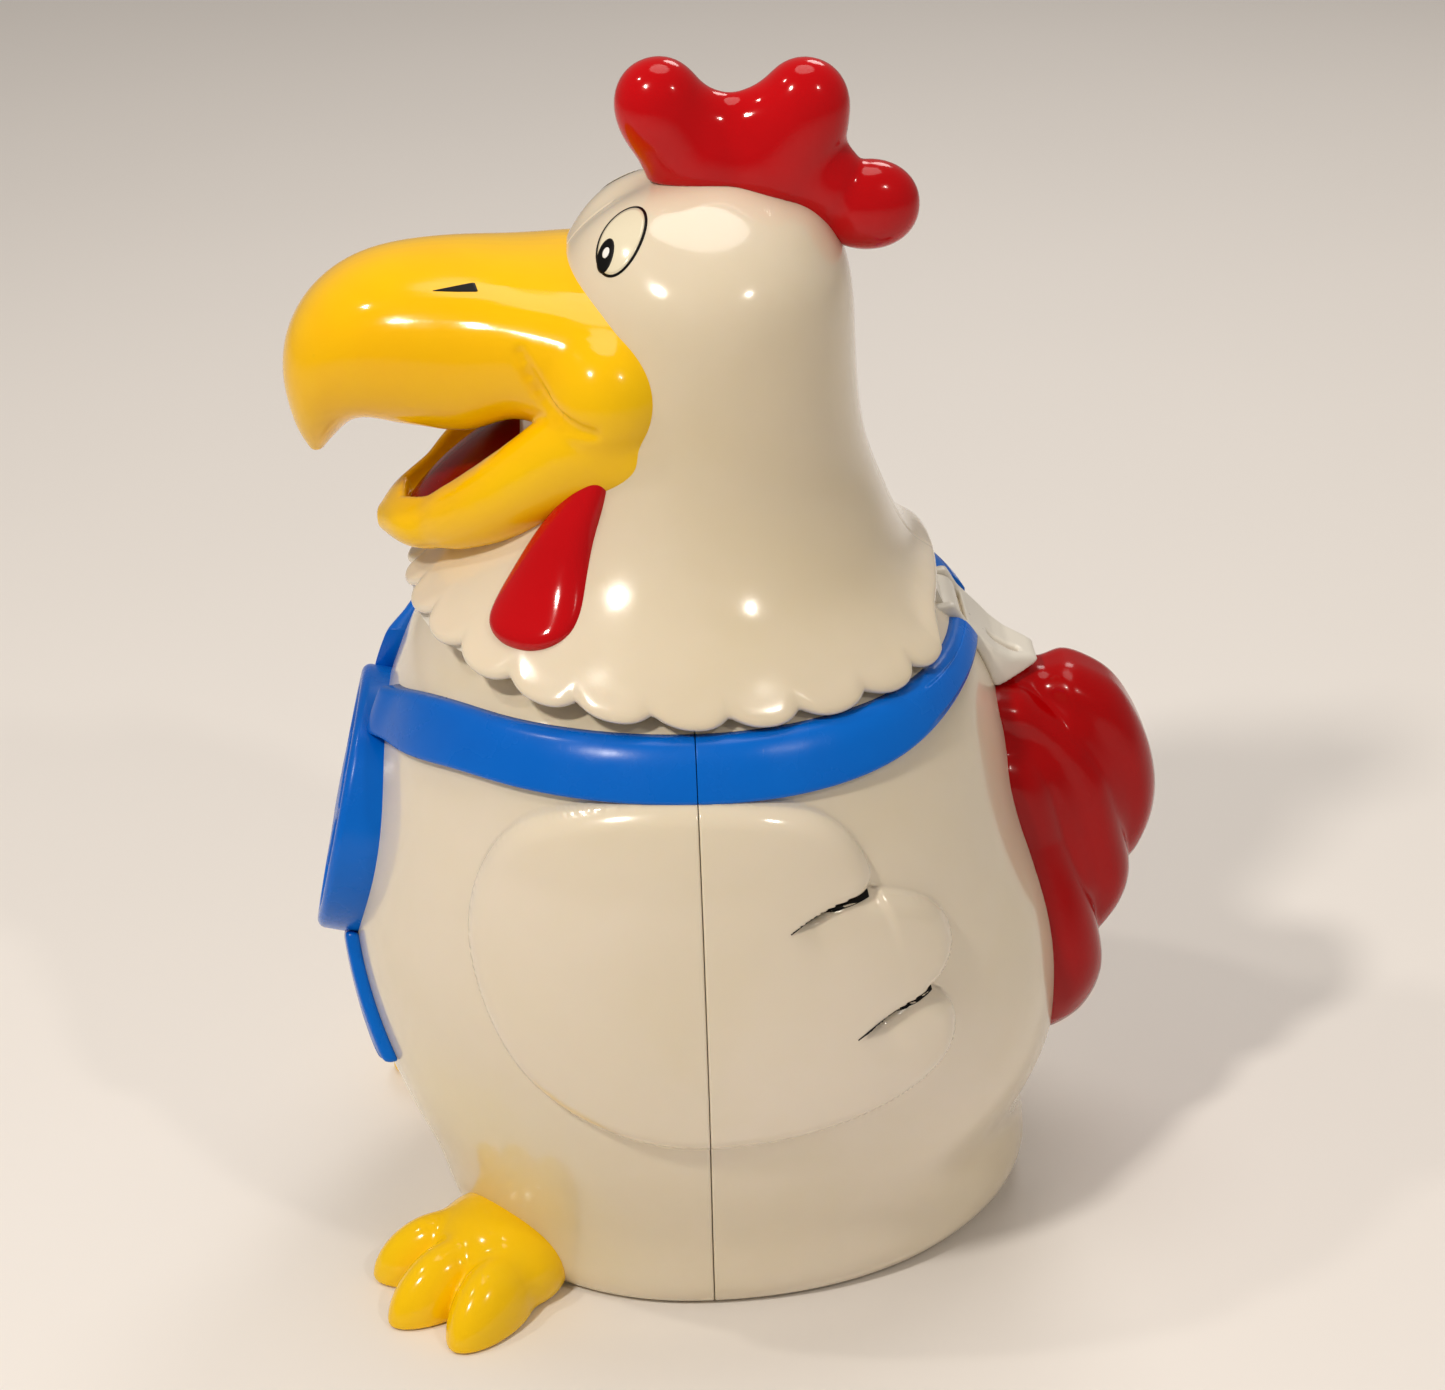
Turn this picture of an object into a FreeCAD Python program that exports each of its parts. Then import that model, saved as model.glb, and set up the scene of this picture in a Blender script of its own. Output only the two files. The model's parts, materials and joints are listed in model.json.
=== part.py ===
# Chicken cookie jar with a hinged head lid, as a parametric FreeCAD document.
# Millimetres, +Z up, -Y is the beak side, origin on the resting face under the middle of the jar.
import FreeCAD, Part
import math
import os
from FreeCAD import Vector, Placement, Rotation

doc = FreeCAD.newDocument("cookie_jar")
sheet = doc.addObject("Spreadsheet::Sheet", "Sizes")

# ---------------------------------------------------------------- driving sizes
SIZES = [
    ("seam_y", -10.8, "plane where the front and rear body shells meet"),
    ("body_width", 89.0, "half width of the body"),
    ("body_front", 87.5, "body, seam to breast"),
    ("body_rear", 94.0, "body, seam to rump"),
    ("body_top", 167.0, "height of the body shells"),
    ("wall", 2.5, "moulded wall"),
    ("head_width", 74.5, "half width of the head skirt"),
    ("skirt_low", 164.5, "lower edge of the head skirt"),
    ("crown_z", 273.0, "top of the head shell"),
    ("wing_proud", 4.0, "how far a wing stands off the body"),
    ("strap_proud", 3.0, "thickness of the neck strap"),
    ("strap_low", 150.0, "lower edge of the strap at the sides"),
    ("strap_high", 162.9, "upper edge of the strap at the sides"),
    ("mouth_radius", 52.0, "hole in the body top"),
    ("mouth_y", -12.3, "centre of the mouth"),
    ("jar_radius", 48.1, "outer radius of the inner jar"),
    ("jar_wall", 1.8, "wall of the inner jar"),
    ("jar_floor", 46.0, "underside of the inner jar"),
    ("collar_top", 169.0, "top of the mouth collar"),
    ("disc_radius", 34.0, "medallion"),
    ("disc_thick", 10.0, "medallion thickness"),
    ("disc_tilt", 14.0, "lean of the medallion, degrees"),
    ("pin_radius", 2.0, "hinge pin"),
    ("pin_length", 27.0, "hinge pin length"),
    ("pivot_y", 52.5, "hinge axis"),
    ("pivot_z", 159.4, "hinge axis"),
    ("run_gap", 0.05, "radial running clearance on the pin"),
    ("knuckle_radius", 4.6, "hinge knuckle"),
    ("knuckle_width", 18.0, "hinge knuckle"),
    ("cover_thick", 2.5, "base cover"),
    ("door_length", 60.0, "battery door"),
    ("door_width", 52.0, "battery door"),
    ("cell_radius", 7.1, "AA cell"),
    ("cell_length", 49.2, "AA cell"),
    ("speaker_radius", 25.0, "loudspeaker"),
    ("speaker_y", -46.0, "loudspeaker centre"),
    ("board_length", 46.0, "sound board"),
    ("board_width", 30.0, "sound board"),
    ("board_thick", 1.6, "sound board"),
    ("plunger_radius", 2.5, "lid switch plunger"),
    ("plunger_x", -28.0, "lid switch"),
    ("plunger_y", 39.2, "lid switch"),
    ("screw_radius", 1.5, "self-tapping screw shank"),
    ("screw_head", 2.9, "self-tapping screw head"),
]


class D:
    """A length that knows both its number and the sheet expression behind it."""

    def __init__(self, v, e):
        self.v, self.e = float(v), e

    @staticmethod
    def of(o):
        return o if isinstance(o, D) else D(o, "%.6g" % o)

    def __add__(self, o):
        o = D.of(o)
        return D(self.v + o.v, "(%s + %s)" % (self.e, o.e))

    def __sub__(self, o):
        o = D.of(o)
        return D(self.v - o.v, "(%s - %s)" % (self.e, o.e))

    def __mul__(self, o):
        o = D.of(o)
        return D(self.v * o.v, "(%s * %s)" % (self.e, o.e))

    def __neg__(self):
        return D(-self.v, "(0 - %s)" % self.e)


S = {}
for row, (name, value, note) in enumerate(SIZES, start=1):
    sheet.set("A%d" % row, name)
    sheet.set("B%d" % row, "%.6g" % value)
    sheet.set("C%d" % row, note)
    sheet.setAlias("B%d" % row, name)
    S[name] = D(value, "Sizes." + name)
doc.recompute()


def size(name):
    """Plain number read back from the sheet."""
    return float(sheet.get(name))


SEAM = size("seam_y")
WALL = size("wall")
NODES = []


def node(obj, label):
    obj.Label = label
    NODES.append(obj)
    return obj


def bind(obj, **kw):
    for k, v in kw.items():
        v = D.of(v)
        setattr(obj, k, v.v)
        if "Sizes" in v.e:
            obj.setExpression(k, v.e)
    return obj


def at(obj, x=0.0, y=0.0, z=0.0, rot=None):
    x, y, z = D.of(x), D.of(y), D.of(z)
    obj.Placement = Placement(Vector(x.v, y.v, z.v), rot or Rotation())
    for k, d in (("x", x), ("y", y), ("z", z)):
        if "Sizes" in d.e:
            obj.setExpression("Placement.Base." + k, d.e)
    return obj


RX = Rotation(Vector(1, 0, 0), 90)       # +Z of the primitive turns to -Y
RXB = Rotation(Vector(1, 0, 0), -90)     # +Z of the primitive turns to +Y
RY = Rotation(Vector(0, 1, 0), 90)       # +Z of the primitive turns to +X


def cyl(name, r, length, x=0, y=0, z=0, rot=None):
    return at(bind(doc.addObject("Part::Cylinder", name), Radius=r, Height=length), x, y, z, rot)


def box(name, lx, ly, lz, x=0, y=0, z=0):
    """Box whose x and y are its centre and z its underside."""
    lx, ly = D.of(lx), D.of(ly)
    b = bind(doc.addObject("Part::Box", name), Length=lx, Width=ly, Height=lz)
    return at(b, D.of(x) - lx * 0.5, D.of(y) - ly * 0.5, z)


def cut(name, base, tool):
    o = doc.addObject("Part::Cut", name)
    o.Base, o.Tool = base, tool
    return o


def fuse(name, shapes):
    if len(shapes) == 1:
        return shapes[0]
    o = doc.addObject("Part::MultiFuse", name)
    o.Shapes = shapes
    return o


def shaped(name, shape, label=None):
    """Freeform piece whose faces come from lofts; its sizes are read from the sheet."""
    o = doc.addObject("Part::Feature", name)
    where = shape.Placement
    o.Shape = shape
    o.Placement = where
    if label:
        node(o, label)
    return o


# ---------------------------------------------------------------- sketch helpers
def origin_plane(body, role):
    for f in body.Origin.OriginFeatures:
        if f.Role == role:
            return f


def poly_sketch(body, name, role, pts, circles=()):
    """Closed polygon and circles, every point held by distances from the origin."""
    sk = body.newObject("Sketcher::SketchObject", name)
    sk.AttachmentSupport = [(origin_plane(body, role), "")]
    sk.MapMode = "FlatFace"
    P = [(D.of(a), D.of(b)) for a, b in pts]
    n = len(P)
    Sk = Sketcher
    for i in range(n):
        a, b = P[i], P[(i + 1) % n]
        sk.addGeometry(Part.LineSegment(Vector(a[0].v, a[1].v, 0), Vector(b[0].v, b[1].v, 0)), False)
    for i in range(n):
        sk.addConstraint(Sk.Constraint("Coincident", i, 2, (i + 1) % n, 1))
    for i, (a, b) in enumerate(P):
        hold(sk, i, 1, a, b)
    for cx, cy, r in circles:
        cx, cy, r = D.of(cx), D.of(cy), D.of(r)
        g = sk.addGeometry(Part.Circle(Vector(cx.v, cy.v, 0), Vector(0, 0, 1), r.v), False)
        hold(sk, g, 3, cx, cy)
        k = sk.addConstraint(Sk.Constraint("Radius", g, r.v))
        if "Sizes" in r.e:
            sk.setExpression("Constraints[%d]" % k, r.e)
    return sk


def hold(sk, g, p, a, b):
    for d, kind, axis in ((a, "DistanceX", -2), (b, "DistanceY", -1)):
        if abs(d.v) < 1e-9:
            sk.addConstraint(Sketcher.Constraint("PointOnObject", g, p, axis))
        elif d.v > 0:
            k = sk.addConstraint(Sketcher.Constraint(kind, -1, 1, g, p, d.v))
            if "Sizes" in d.e:
                sk.setExpression("Constraints[%d]" % k, d.e)
        else:
            k = sk.addConstraint(Sketcher.Constraint(kind, g, p, -1, 1, -d.v))
            if "Sizes" in d.e:
                sk.setExpression("Constraints[%d]" % k, (-d).e)


import Sketcher


def revolved(label, pts, x=0, y=0, z=0, rot=None):
    """PartDesign revolution about the body's own Z axis of a half section (radius, height)."""
    body = doc.addObject("PartDesign::Body", label)
    sk = poly_sketch(body, label + "_section", "XZ_Plane", pts)
    rev = body.newObject("PartDesign::Revolution", label + "_turn")
    rev.Profile = sk
    rev.ReferenceAxis = (sk, ["V_Axis"])
    rev.Angle = 360
    doc.recompute()
    at(body, x, y, z, rot)
    return node(body, label)


def padded(label, pts, height, circles=(), role="XY_Plane", x=0, y=0, z=0, rot=None, keep=True):
    body = doc.addObject("PartDesign::Body", label)
    sk = poly_sketch(body, label + "_outline", role, pts, circles)
    pad = body.newObject("PartDesign::Pad", label + "_pad")
    pad.Profile = sk
    bind(pad, Length=height)
    doc.recompute()
    at(body, x, y, z, rot)
    return node(body, label) if keep else body


def rect(lx, ly, cx=0, cy=0):
    lx, ly, cx, cy = D.of(lx), D.of(ly), D.of(cx), D.of(cy)
    return [(cx - lx * 0.5, cy - ly * 0.5), (cx + lx * 0.5, cy - ly * 0.5),
            (cx + lx * 0.5, cy + ly * 0.5), (cx - lx * 0.5, cy + ly * 0.5)]


# ---------------------------------------------------------------- freeform sections
# Height, then half width, front and rear reach as fractions of the sheet's sizes.
BODY = [
    (0, 0.750, 0.735, 0.830), (4, 0.778, 0.765, 0.880), (11, 0.790, 0.795, 0.908),
    (20, 0.803, 0.823, 0.894), (30, 0.843, 0.863, 0.910), (42, 0.899, 0.914, 0.962),
    (56, 0.949, 0.960, 0.995), (74, 0.985, 0.994, 1.000), (92, 1.000, 1.000, 0.958),
    (109, 0.994, 0.966, 0.897), (125, 0.977, 0.920, 0.854), (138, 0.944, 0.880, 0.824),
    (149, 0.904, 0.834, 0.783), (157, 0.865, 0.794, 0.736), (163, 0.811, 0.745, 0.680),
    (167, 0.735, 0.680, 0.610),
]
# Height, then half width as a fraction, front and rear reach from the seam plane.
HEAD = [
    (164.5, 1.000, -71.5, 68.5), (168, 0.987, -71.5, 66.5), (174, 0.940, -68.5, 61.0),
    (182, 0.839, -61.0, 54.5), (192, 0.732, -51.0, 50.0), (204, 0.651, -43.0, 45.8),
    (216, 0.604, -38.0, 43.8), (230, 0.574, -34.0, 43.0), (242, 0.550, -30.5, 42.6),
    (252, 0.510, -27.5, 41.0), (260, 0.430, -23.0, 37.5), (266, 0.328, -17.0, 32.0),
    (270, 0.228, -10.5, 23.5), (272.3, 0.120, -3.0, 16.5), (273, 0.040, 3.0, 10.5),
]
POWER = 2.12


def section(w, front, rear, z, power=POWER, n=28):
    """Closed smooth section: half width w, reaching front (negative) and rear of the seam plane."""
    c = 0.0 if front < -40 and rear > 40 and power == POWER else 0.5 * (front + rear)
    pts = []
    for k in range(n):
        a = 2 * math.pi * (k + 0.5) / n
        s, q = math.sin(a), math.cos(a)
        x = w * math.copysign(abs(s) ** (2 / power), s)
        reach = (rear - c) if q > 0 else (c - front)
        y = c + reach * math.copysign(abs(q) ** (2 / power), q)
        pts.append(Vector(x, y + SEAM, z))
    bs = Part.BSplineCurve()
    bs.interpolate(pts, True)
    return Part.Wire([bs.toShape()])


def lerp(table, z):
    for a, b in zip(table, table[1:]):
        if a[0] <= z <= b[0]:
            t = (z - a[0]) / (b[0] - a[0])
            return [z] + [p + (q - p) * t for p, q in zip(a[1:], b[1:])]
    return list(table[0] if z < table[0][0] else table[-1])


def body_solid(off=0.0, low=0.0, high=None):
    high = size("body_top") if high is None else high
    W, F, B = size("body_width"), size("body_front"), size("body_rear")
    rows = [r for r in BODY if low + 1.5 < r[0] < high - 1.5]
    rows = [lerp(BODY, max(low, 0.0))] + rows + [lerp(BODY, min(high, 167.0))]
    zs = [low] + [r[0] for r in rows[1:-1]] + [high]
    wires = [section(r[1] * W + off, -r[2] * F - off, r[3] * B + off, z) for r, z in zip(rows, zs)]
    return Part.makeLoft(wires, True, False)


def head_solid(off=0.0, low=None, high=None):
    low = size("skirt_low") if low is None else low
    high = size("crown_z") if high is None else high
    W = size("head_width")
    rows = [r for r in HEAD if low + 1.2 < r[0] < high - 0.4]
    rows = [lerp(HEAD, max(low, 164.5))] + rows + [lerp(HEAD, min(high, 273.0))]
    zs = [low] + [r[0] for r in rows[1:-1]] + [high]
    wires = []
    for r, z in zip(rows, zs):
        w = max(r[1] * W + off, 1.2)
        f, b = r[2] - off, r[3] + off
        if b - f < 3:
            m = 0.5 * (b + f)
            f, b = m - 1.5, m + 1.5
        wires.append(section(w, f, b, z, 2.08))
    return Part.makeLoft(wires, True, False)


def ellipsoid(cx, cy, cz, rx, ry, rz, turn=0.0, tilt=0.0, roll=0.0, poles="x"):
    """Ellipsoid at a centre given from the seam plane; tilt about X, turn about Z, roll about Y."""
    s = Part.makeSphere(1.0)
    m = FreeCAD.Matrix()
    if poles == "y":
        m.rotateZ(math.pi / 2)
        m.rotateX(math.pi / 2)
    elif poles == "x":
        m.rotateY(-math.pi / 2)
    m.scale(rx, ry, rz)
    s = s.transformGeometry(m)
    s.Placement = Placement(Vector(cx, cy + SEAM, cz),
                            Rotation(Vector(0, 0, 1), turn) * Rotation(Vector(1, 0, 0), tilt)
                            * Rotation(Vector(0, 1, 0), roll))
    return s


def slab(x0, x1, y0, y1, z0, z1):
    return Part.makeBox(x1 - x0, y1 - y0, z1 - z0, Vector(x0, y0 + SEAM, z0))


def tube(x, y, z, r, length, direction):
    return Part.makeCylinder(r, length, Vector(x, y + SEAM, z), direction)


def outline(pieces):
    """Wire in a plane from runs of points: a run of two is a line, longer ones are smooth."""
    edges = []
    for run in pieces:
        if len(run) == 2:
            edges.append(Part.LineSegment(run[0], run[1]).toShape())
        else:
            bs = Part.BSplineCurve()
            bs.interpolate(run)
            edges.append(bs.toShape())
    return Part.Wire(edges)


def yz(pts, x=0.0):
    return [Vector(x, y + SEAM, z) for y, z in pts]


OUTER = body_solid()
INNER = body_solid(-WALL, -1.0, size("body_top") - WALL)

# ---------------------------------------------------------------- wings, raised from each side
def wing(side):
    lobe3 = [(53.2, 94.8), (57.6, 89.0), (59.0, 83.0), (57.6, 77.0), (51.1, 70.4), (37.9, 64.9),
             (24.0, 61.8), (8.0, 60.0), (-5.0, 60.0), (-17.5, 62.6), (-30.5, 68.6), (-42.6, 79.0),
             (-50.6, 95.0), (-53.6, 111.0), (-52.2, 123.5), (-47.4, 134.5), (-40.3, 142.0),
             (-29.0, 147.0), (-14.0, 149.4), (2.0, 149.3), (17.0, 147.8), (26.5, 144.6),
             (33.0, 139.3), (37.2, 132.8), (38.2, 125.4)]
    lobe2 = [(39.4, 123.8), (47.6, 119.8), (54.0, 114.6), (57.7, 107.8), (57.6, 101.2), (54.2, 96.4)]
    notch1, notch2 = (21.5, 119.9), (36.8, 89.6)
    x = 48.0
    w = outline([
        yz(lobe3, x), yz([lobe3[-1], notch1], x), yz([notch1, lobe2[0]], x), yz(lobe2, x),
        yz([lobe2[-1], notch2], x), yz([notch2, lobe3[0]], x)])
    solid = Part.Face(w).extrude(Vector(60, 0, 0))
    solid = solid.common(body_solid(size("wing_proud"), 20.0, 165.0))
    if side < 0:
        solid = solid.mirror(Vector(0, 0, 0), Vector(1, 0, 0))
    return solid


COVER_SCREWS = [(-44, -34), (44, -34), (-42, 44), (42, 44)]
shell = OUTER.fuse([wing(1), wing(-1)])
# rounded hollow inside, mouth on top, pocket for the hinge, hole for the lid switch
shell = shell.cut(INNER)
MY = size("mouth_y") - SEAM
shell = shell.cut(tube(0, MY, 150, size("mouth_radius"), 40, Vector(0, 0, 1)))
shell = shell.cut(slab(-13.5, 13.5, 55.5, 80, 153.4, 180))
PX, PY = size("plunger_x"), size("plunger_y") - SEAM
shell = shell.cut(tube(PX, PY, 150, size("plunger_radius") + 0.4, 30, Vector(0, 0, 1)))
# screw bosses either side of the seam, tied to the wall by ribs
bosses = []
for sx in (-1, 1):
    for bx, bz in ((72.0, 58.0), (68.0, 140.0)):
        b = tube(sx * bx, -12, bz, 4.0, 24, Vector(0, 1, 0))
        rib = slab(*sorted((sx * bx, sx * 90.0)), -12, 12, bz - 1.2, bz + 1.2)
        b = b.fuse(rib).common(body_solid(-0.6, 20.0, 165.0))
        bosses.append(b)
shell = shell.fuse(bosses)
for sx in (-1, 1):
    for bx, bz in ((72.0, 58.0), (68.0, 140.0)):
        shell = shell.cut(tube(sx * bx, -13, bz, 1.65, 22, Vector(0, 1, 0)))
# screw holes for the feet and the tail
for sx in (-1, 1):
    shell = shell.cut(tube(sx * 46, -40, 9.5, 1.7, 30, Vector(0, -1, 0)))
for tz in (72.0, 108.0):
    shell = shell.cut(tube(0, 70, tz, 1.7, 30, Vector(0, 1, 0)))
front = shell.common(slab(-150, 150, -200, 0, -5, 260))
rear = shell.common(slab(-150, 150, 0, 200, -5, 260))
shaped("FrontShell", front.removeSplitter(), "body_shell_front")
shaped("RearShell", rear.removeSplitter(), "body_shell_rear")

# ---------------------------------------------------------------- strap round the neck
band_out = body_solid(size("strap_proud"), 100.0, 166.0)
lo, hi = size("strap_low"), size("strap_high")
top = [(78.0, hi - 0.6), (60.0, hi - 0.8), (30.0, hi - 0.2), (0.0, hi), (-28.0, hi), (-45.0, hi - 0.8),
       (-57.0, hi - 2.6), (-66.0, hi - 7.0), (-75.0, hi - 15.5), (-92.0, hi - 32.0)]
bottom = [(-96.0, lo - 40.0), (-84.0, lo - 26.0), (-78.0, lo - 14.0), (-68.0, lo - 5.6), (-57.0, lo - 1.6),
          (-43.0, lo), (0.0, lo - 0.2), (34.0, lo), (52.0, lo + 2.2), (67.0, lo + 6.2), (78.0, lo + 7.4)]
band = Part.Face(outline([yz(top, -120), yz([top[-1], bottom[0]], -120), yz(bottom, -120),
                          yz([bottom[-1], top[0]], -120)])).extrude(Vector(240, 0, 0))
strap = band.common(band_out).cut(OUTER)
strap = strap.cut(slab(-13.4, 13.4, 40, 120, 130, 180))

# ---------------------------------------------------------------- medallion hanging on the breast
DR, DT, TILT = size("disc_radius"), size("disc_thick"), size("disc_tilt")
DISC_C = Vector(0, -84.65 + SEAM, 112.7)
DISC_ROT = Rotation(Vector(1, 0, 0), 90 - TILT)      # disc normal leans upwards from -Y
disc_full = Part.makeCylinder(DR + 0.3, 30, Vector(0, 0, -18))
disc_full.Placement = Placement(DISC_C, DISC_ROT)
front_strap = strap.common(slab(-150, 150, -200, 0, 60, 200)).cut(disc_full)
front_strap = Part.makeCompound([s for s in front_strap.Solids if s.Volume > 800])
shaped("StrapFront", front_strap, "neck_strap_front")
shaped("StrapRear", strap.common(slab(-150, 150, 0, 200, 60, 200)), "neck_strap_rear")

disc = Part.makeCylinder(DR, DT + 8, Vector(0, 0, -DT - 3))
disc = disc.makeFillet(2.2, [e for e in disc.Edges if abs(e.CenterOfMass.z - 5.0) < 0.1 and e.Closed])
disc = disc.cut(Part.makeCylinder(DR - 5.0, 4, Vector(0, 0, 3.4)))
disc.Placement = Placement(DISC_C, DISC_ROT)
disc = disc.cut(OUTER)
shaped("Disc", disc, "medallion_disc")

# raised star on the medallion's recessed face
star = []
for k in range(10):
    a = math.radians(36 * k)
    r = DR * (0.60 if k % 2 == 0 else 0.30)
    star.append(Vector(r * math.sin(a), r * math.cos(a), 3.4))
emblem = Part.Face(Part.makePolygon(star + [star[0]])).extrude(Vector(0, 0, 2.2))
emblem.Placement = Placement(DISC_C, DISC_ROT)
shaped("Emblem", emblem, "medallion_emblem")

# ribbon tails below the medallion, notched at their ends
tails = []
for sx in (-1, 1):
    pts = [(sx * 2.0, 92.0), (sx * 20.0, 92.0), (sx * 39.0, 57.0), (sx * 28.5, 57.0), (sx * 22.0, 47.5)]
    f = Part.Face(Part.makePolygon([Vector(x, -130 + SEAM, z) for x, z in pts + [pts[0]]]))
    tails.append(f.extrude(Vector(0, 90, 0)))
ribbon_out = body_solid(3.4, 10.0, 130.0)
ribbons = [t.common(ribbon_out).cut(OUTER).cut(disc_full) for t in tails]
shaped("Ribbons", Part.makeCompound([s for r in ribbons for s in r.Solids if s.Volume > 200]), "ribbon_tails")

# ---------------------------------------------------------------- tail feathers
# three nested feathers, each an ellipsoid leaning down the rump
FEATHERS = [(0, 88, 112, 25, 29.5, 33.0, 6), (0, 82.0, 97, 30, 28.5, 36.0, 9), (0, 74.0, 80, 34, 24.0, 40.0, 14)]
tail = ellipsoid(*FEATHERS[0][:6], tilt=FEATHERS[0][6], poles="y")
for f in FEATHERS[1:]:
    tail = tail.fuse(ellipsoid(*f[:6], tilt=f[6], poles="y"))
tail = tail.cut(body_solid(0.0, 0.0, 167.0)).cut(slab(-60, 60, 40, 84.5, 100, 200))
tail = max(tail.Solids, key=lambda s: s.Volume)
hollow = ellipsoid(0, 87, 112, 22, 27, 30, tilt=6, poles="y").cut(body_solid(3.0, 0.0, 167.0))
hollow = max(hollow.Solids, key=lambda s: s.Volume)
pads = [tube(0, 74, tz, 4.0, 30, Vector(0, 1, 0)) for tz in (72.0, 108.0)]
hollow = hollow.cut(Part.makeCompound(pads))
tail = tail.cut(hollow.common(slab(-60, 60, 40, 112, 60, 145)))
for tz in (72.0, 108.0):
    tail = tail.cut(tube(0, 74, tz, 1.65, 27.2, Vector(0, 1, 0)))
shaped("Tail", tail, "tail_feathers")

# ---------------------------------------------------------------- feet: three toes each
TOES = [(47.0, -70.5, 17.0, 12), (60.5, -67.5, 18.0, 38), (69.0, -55.5, 17.5, 56)]


def foot(side):
    parts = [ellipsoid(50, -54, 6.5, 20, 17, 14.5, turn=32, poles="y")]
    for tx, ty, length, turn in TOES:
        parts.append(ellipsoid(tx, ty, 5.0, 8.4, length, 10.5, turn=turn, tilt=14, poles="y"))
    f = parts[0].fuse(parts[1:])
    f = f.common(slab(0, 120, -120, 40, 0, 60)).cut(OUTER)
    f = max(f.Solids, key=lambda s: s.Volume)
    f = f.cut(tube(46, -40, 9.5, 1.6, 34, Vector(0, -1, 0)))
    if side < 0:
        f = f.mirror(Vector(0, 0, 0), Vector(1, 0, 0))
    return f


shaped("FootLeft", foot(1), "foot_left")
shaped("FootRight", foot(-1), "foot_right")

# ---------------------------------------------------------------- head lid
HEAD_OUT = head_solid()
HEAD_IN = head_solid(-WALL, size("skirt_low") - 1.0, size("crown_z") - WALL)
head = HEAD_OUT.cut(HEAD_IN)
# arch in the skirt over the hinge
arch = outline([[Vector(-38, 40 + SEAM, 160), Vector(38, 40 + SEAM, 160)],
                [Vector(38, 40 + SEAM, 160), Vector(36, 40 + SEAM, 165.5), Vector(28, 40 + SEAM, 171.5),
                 Vector(0, 40 + SEAM, 173.6), Vector(-28, 40 + SEAM, 171.5), Vector(-36, 40 + SEAM, 165.5),
                 Vector(-38, 40 + SEAM, 160)]])
head = head.cut(Part.Face(arch).extrude(Vector(0, 60, 0)))
# scalloped lower edge: a row of shallow notches pointing at the middle
for k in range(24):
    a = 2 * math.pi * (k + 0.5) / 24
    ex, ey = 74.5 * math.sin(a), -1.5 + 70 * math.cos(a)
    if ey > 40 and abs(ex) < 44:
        continue
    notch = Part.makeCylinder(2.6, 16, Vector(0, 0, -8))
    direction = Vector(math.sin(a), math.cos(a), 0)
    notch.Placement = Placement(Vector(ex, ey + SEAM, size("skirt_low") - 0.9), Rotation(Vector(0, 0, 1), direction))
    head = head.cut(notch)
head_left = head.common(slab(0, 150, -200, 200, 150, 300))
head_right = head.common(slab(-150, 0, -200, 200, 150, 300))
shaped("HeadLeft", head_left.removeSplitter(), "head_shell_left")
shaped("HeadRight", head_right.removeSplitter(), "head_shell_right")

pan = head_solid(-WALL - 0.2, 168.0, 186.0).common(slab(-150, 150, -200, 200, 172.6, 175.0))
pan = pan.cut(slab(-150, 150, 59.2, 90, 160, 180))
SCREW_AT = [(-50, -34), (50, -34), (-46, 26), (46, 26)]
for sx, sy in SCREW_AT:
    pan = pan.cut(tube(sx, sy, 165, 1.65, 20, Vector(0, 0, 1)))
for sx in (-6, 6):
    pan = pan.cut(tube(sx, 48, 165, 1.65, 20, Vector(0, 0, 1)))
shaped("HeadPan", pan, "head_floor_pan")


# beak: stations from the cheeks to the hooked tip
def station(y, z, hw, hh, lean, n=20, power=2.2):
    """Section of half width hw and half height hh; lean turns its normal from -Y down towards -Z."""
    pts = []
    c, s = math.cos(math.radians(lean)), math.sin(math.radians(lean))
    for k in range(n):
        a = 2 * math.pi * (k + 0.5) / n
        u = hw * math.copysign(abs(math.sin(a)) ** (2 / power), math.sin(a))
        v = hh * math.copysign(abs(math.cos(a)) ** (2 / power), math.cos(a))
        pts.append(Vector(u, y + SEAM - v * s, z + v * c))
    bs = Part.BSplineCurve()
    bs.interpolate(pts, True)
    return Part.Wire([bs.toShape()])


UPPER = [(-6, 237.4, 44.0, 17.0, 0), (-20, 236.8, 43.0, 18.2, 0), (-34, 237.4, 36.0, 19.6, 0),
         (-48, 237.2, 30.0, 20.6, 0), (-60, 237.4, 27.5, 20.0, 5), (-71.5, 235.2, 24.5, 19.0, 22),
         (-80.0, 228.6, 20.0, 15.6, 48), (-84.8, 220.2, 14.0, 8.8, 74), (-86.6, 213.6, 8.0, 4.8, 84),
         (-87.4, 208.4, 2.4, 1.5, 90)]
upper = Part.makeLoft([station(*st) for st in UPPER], True, False)
cheeks = [ellipsoid(34, -16.5, 231, 12.5, 12.5, 17.5), ellipsoid(-34, -16.5, 231, 12.5, 12.5, 17.5)]
upper = upper.fuse(cheeks).cut(head_solid(0.0, 164.5, 273.0))
upper = max(upper.Solids, key=lambda s: s.Volume)
# nostril recesses
for sx in (-1, 1):
    nos = Part.Face(Part.makePolygon([Vector(sx * 16, -58.0 + SEAM, 250), Vector(sx * 24, -47.5 + SEAM, 250),
                                      Vector(sx * 16, -47.0 + SEAM, 250), Vector(sx * 16, -58.0 + SEAM, 250)]))
    nos = nos.extrude(Vector(0, 0, 30))
    upper = upper.cut(nos.cut(Part.makeLoft([station(y, z - 1.6, hw, hh, l) for y, z, hw, hh, l in UPPER], True, False)))
shaped("BeakUpper", upper, "beak_upper")

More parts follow.
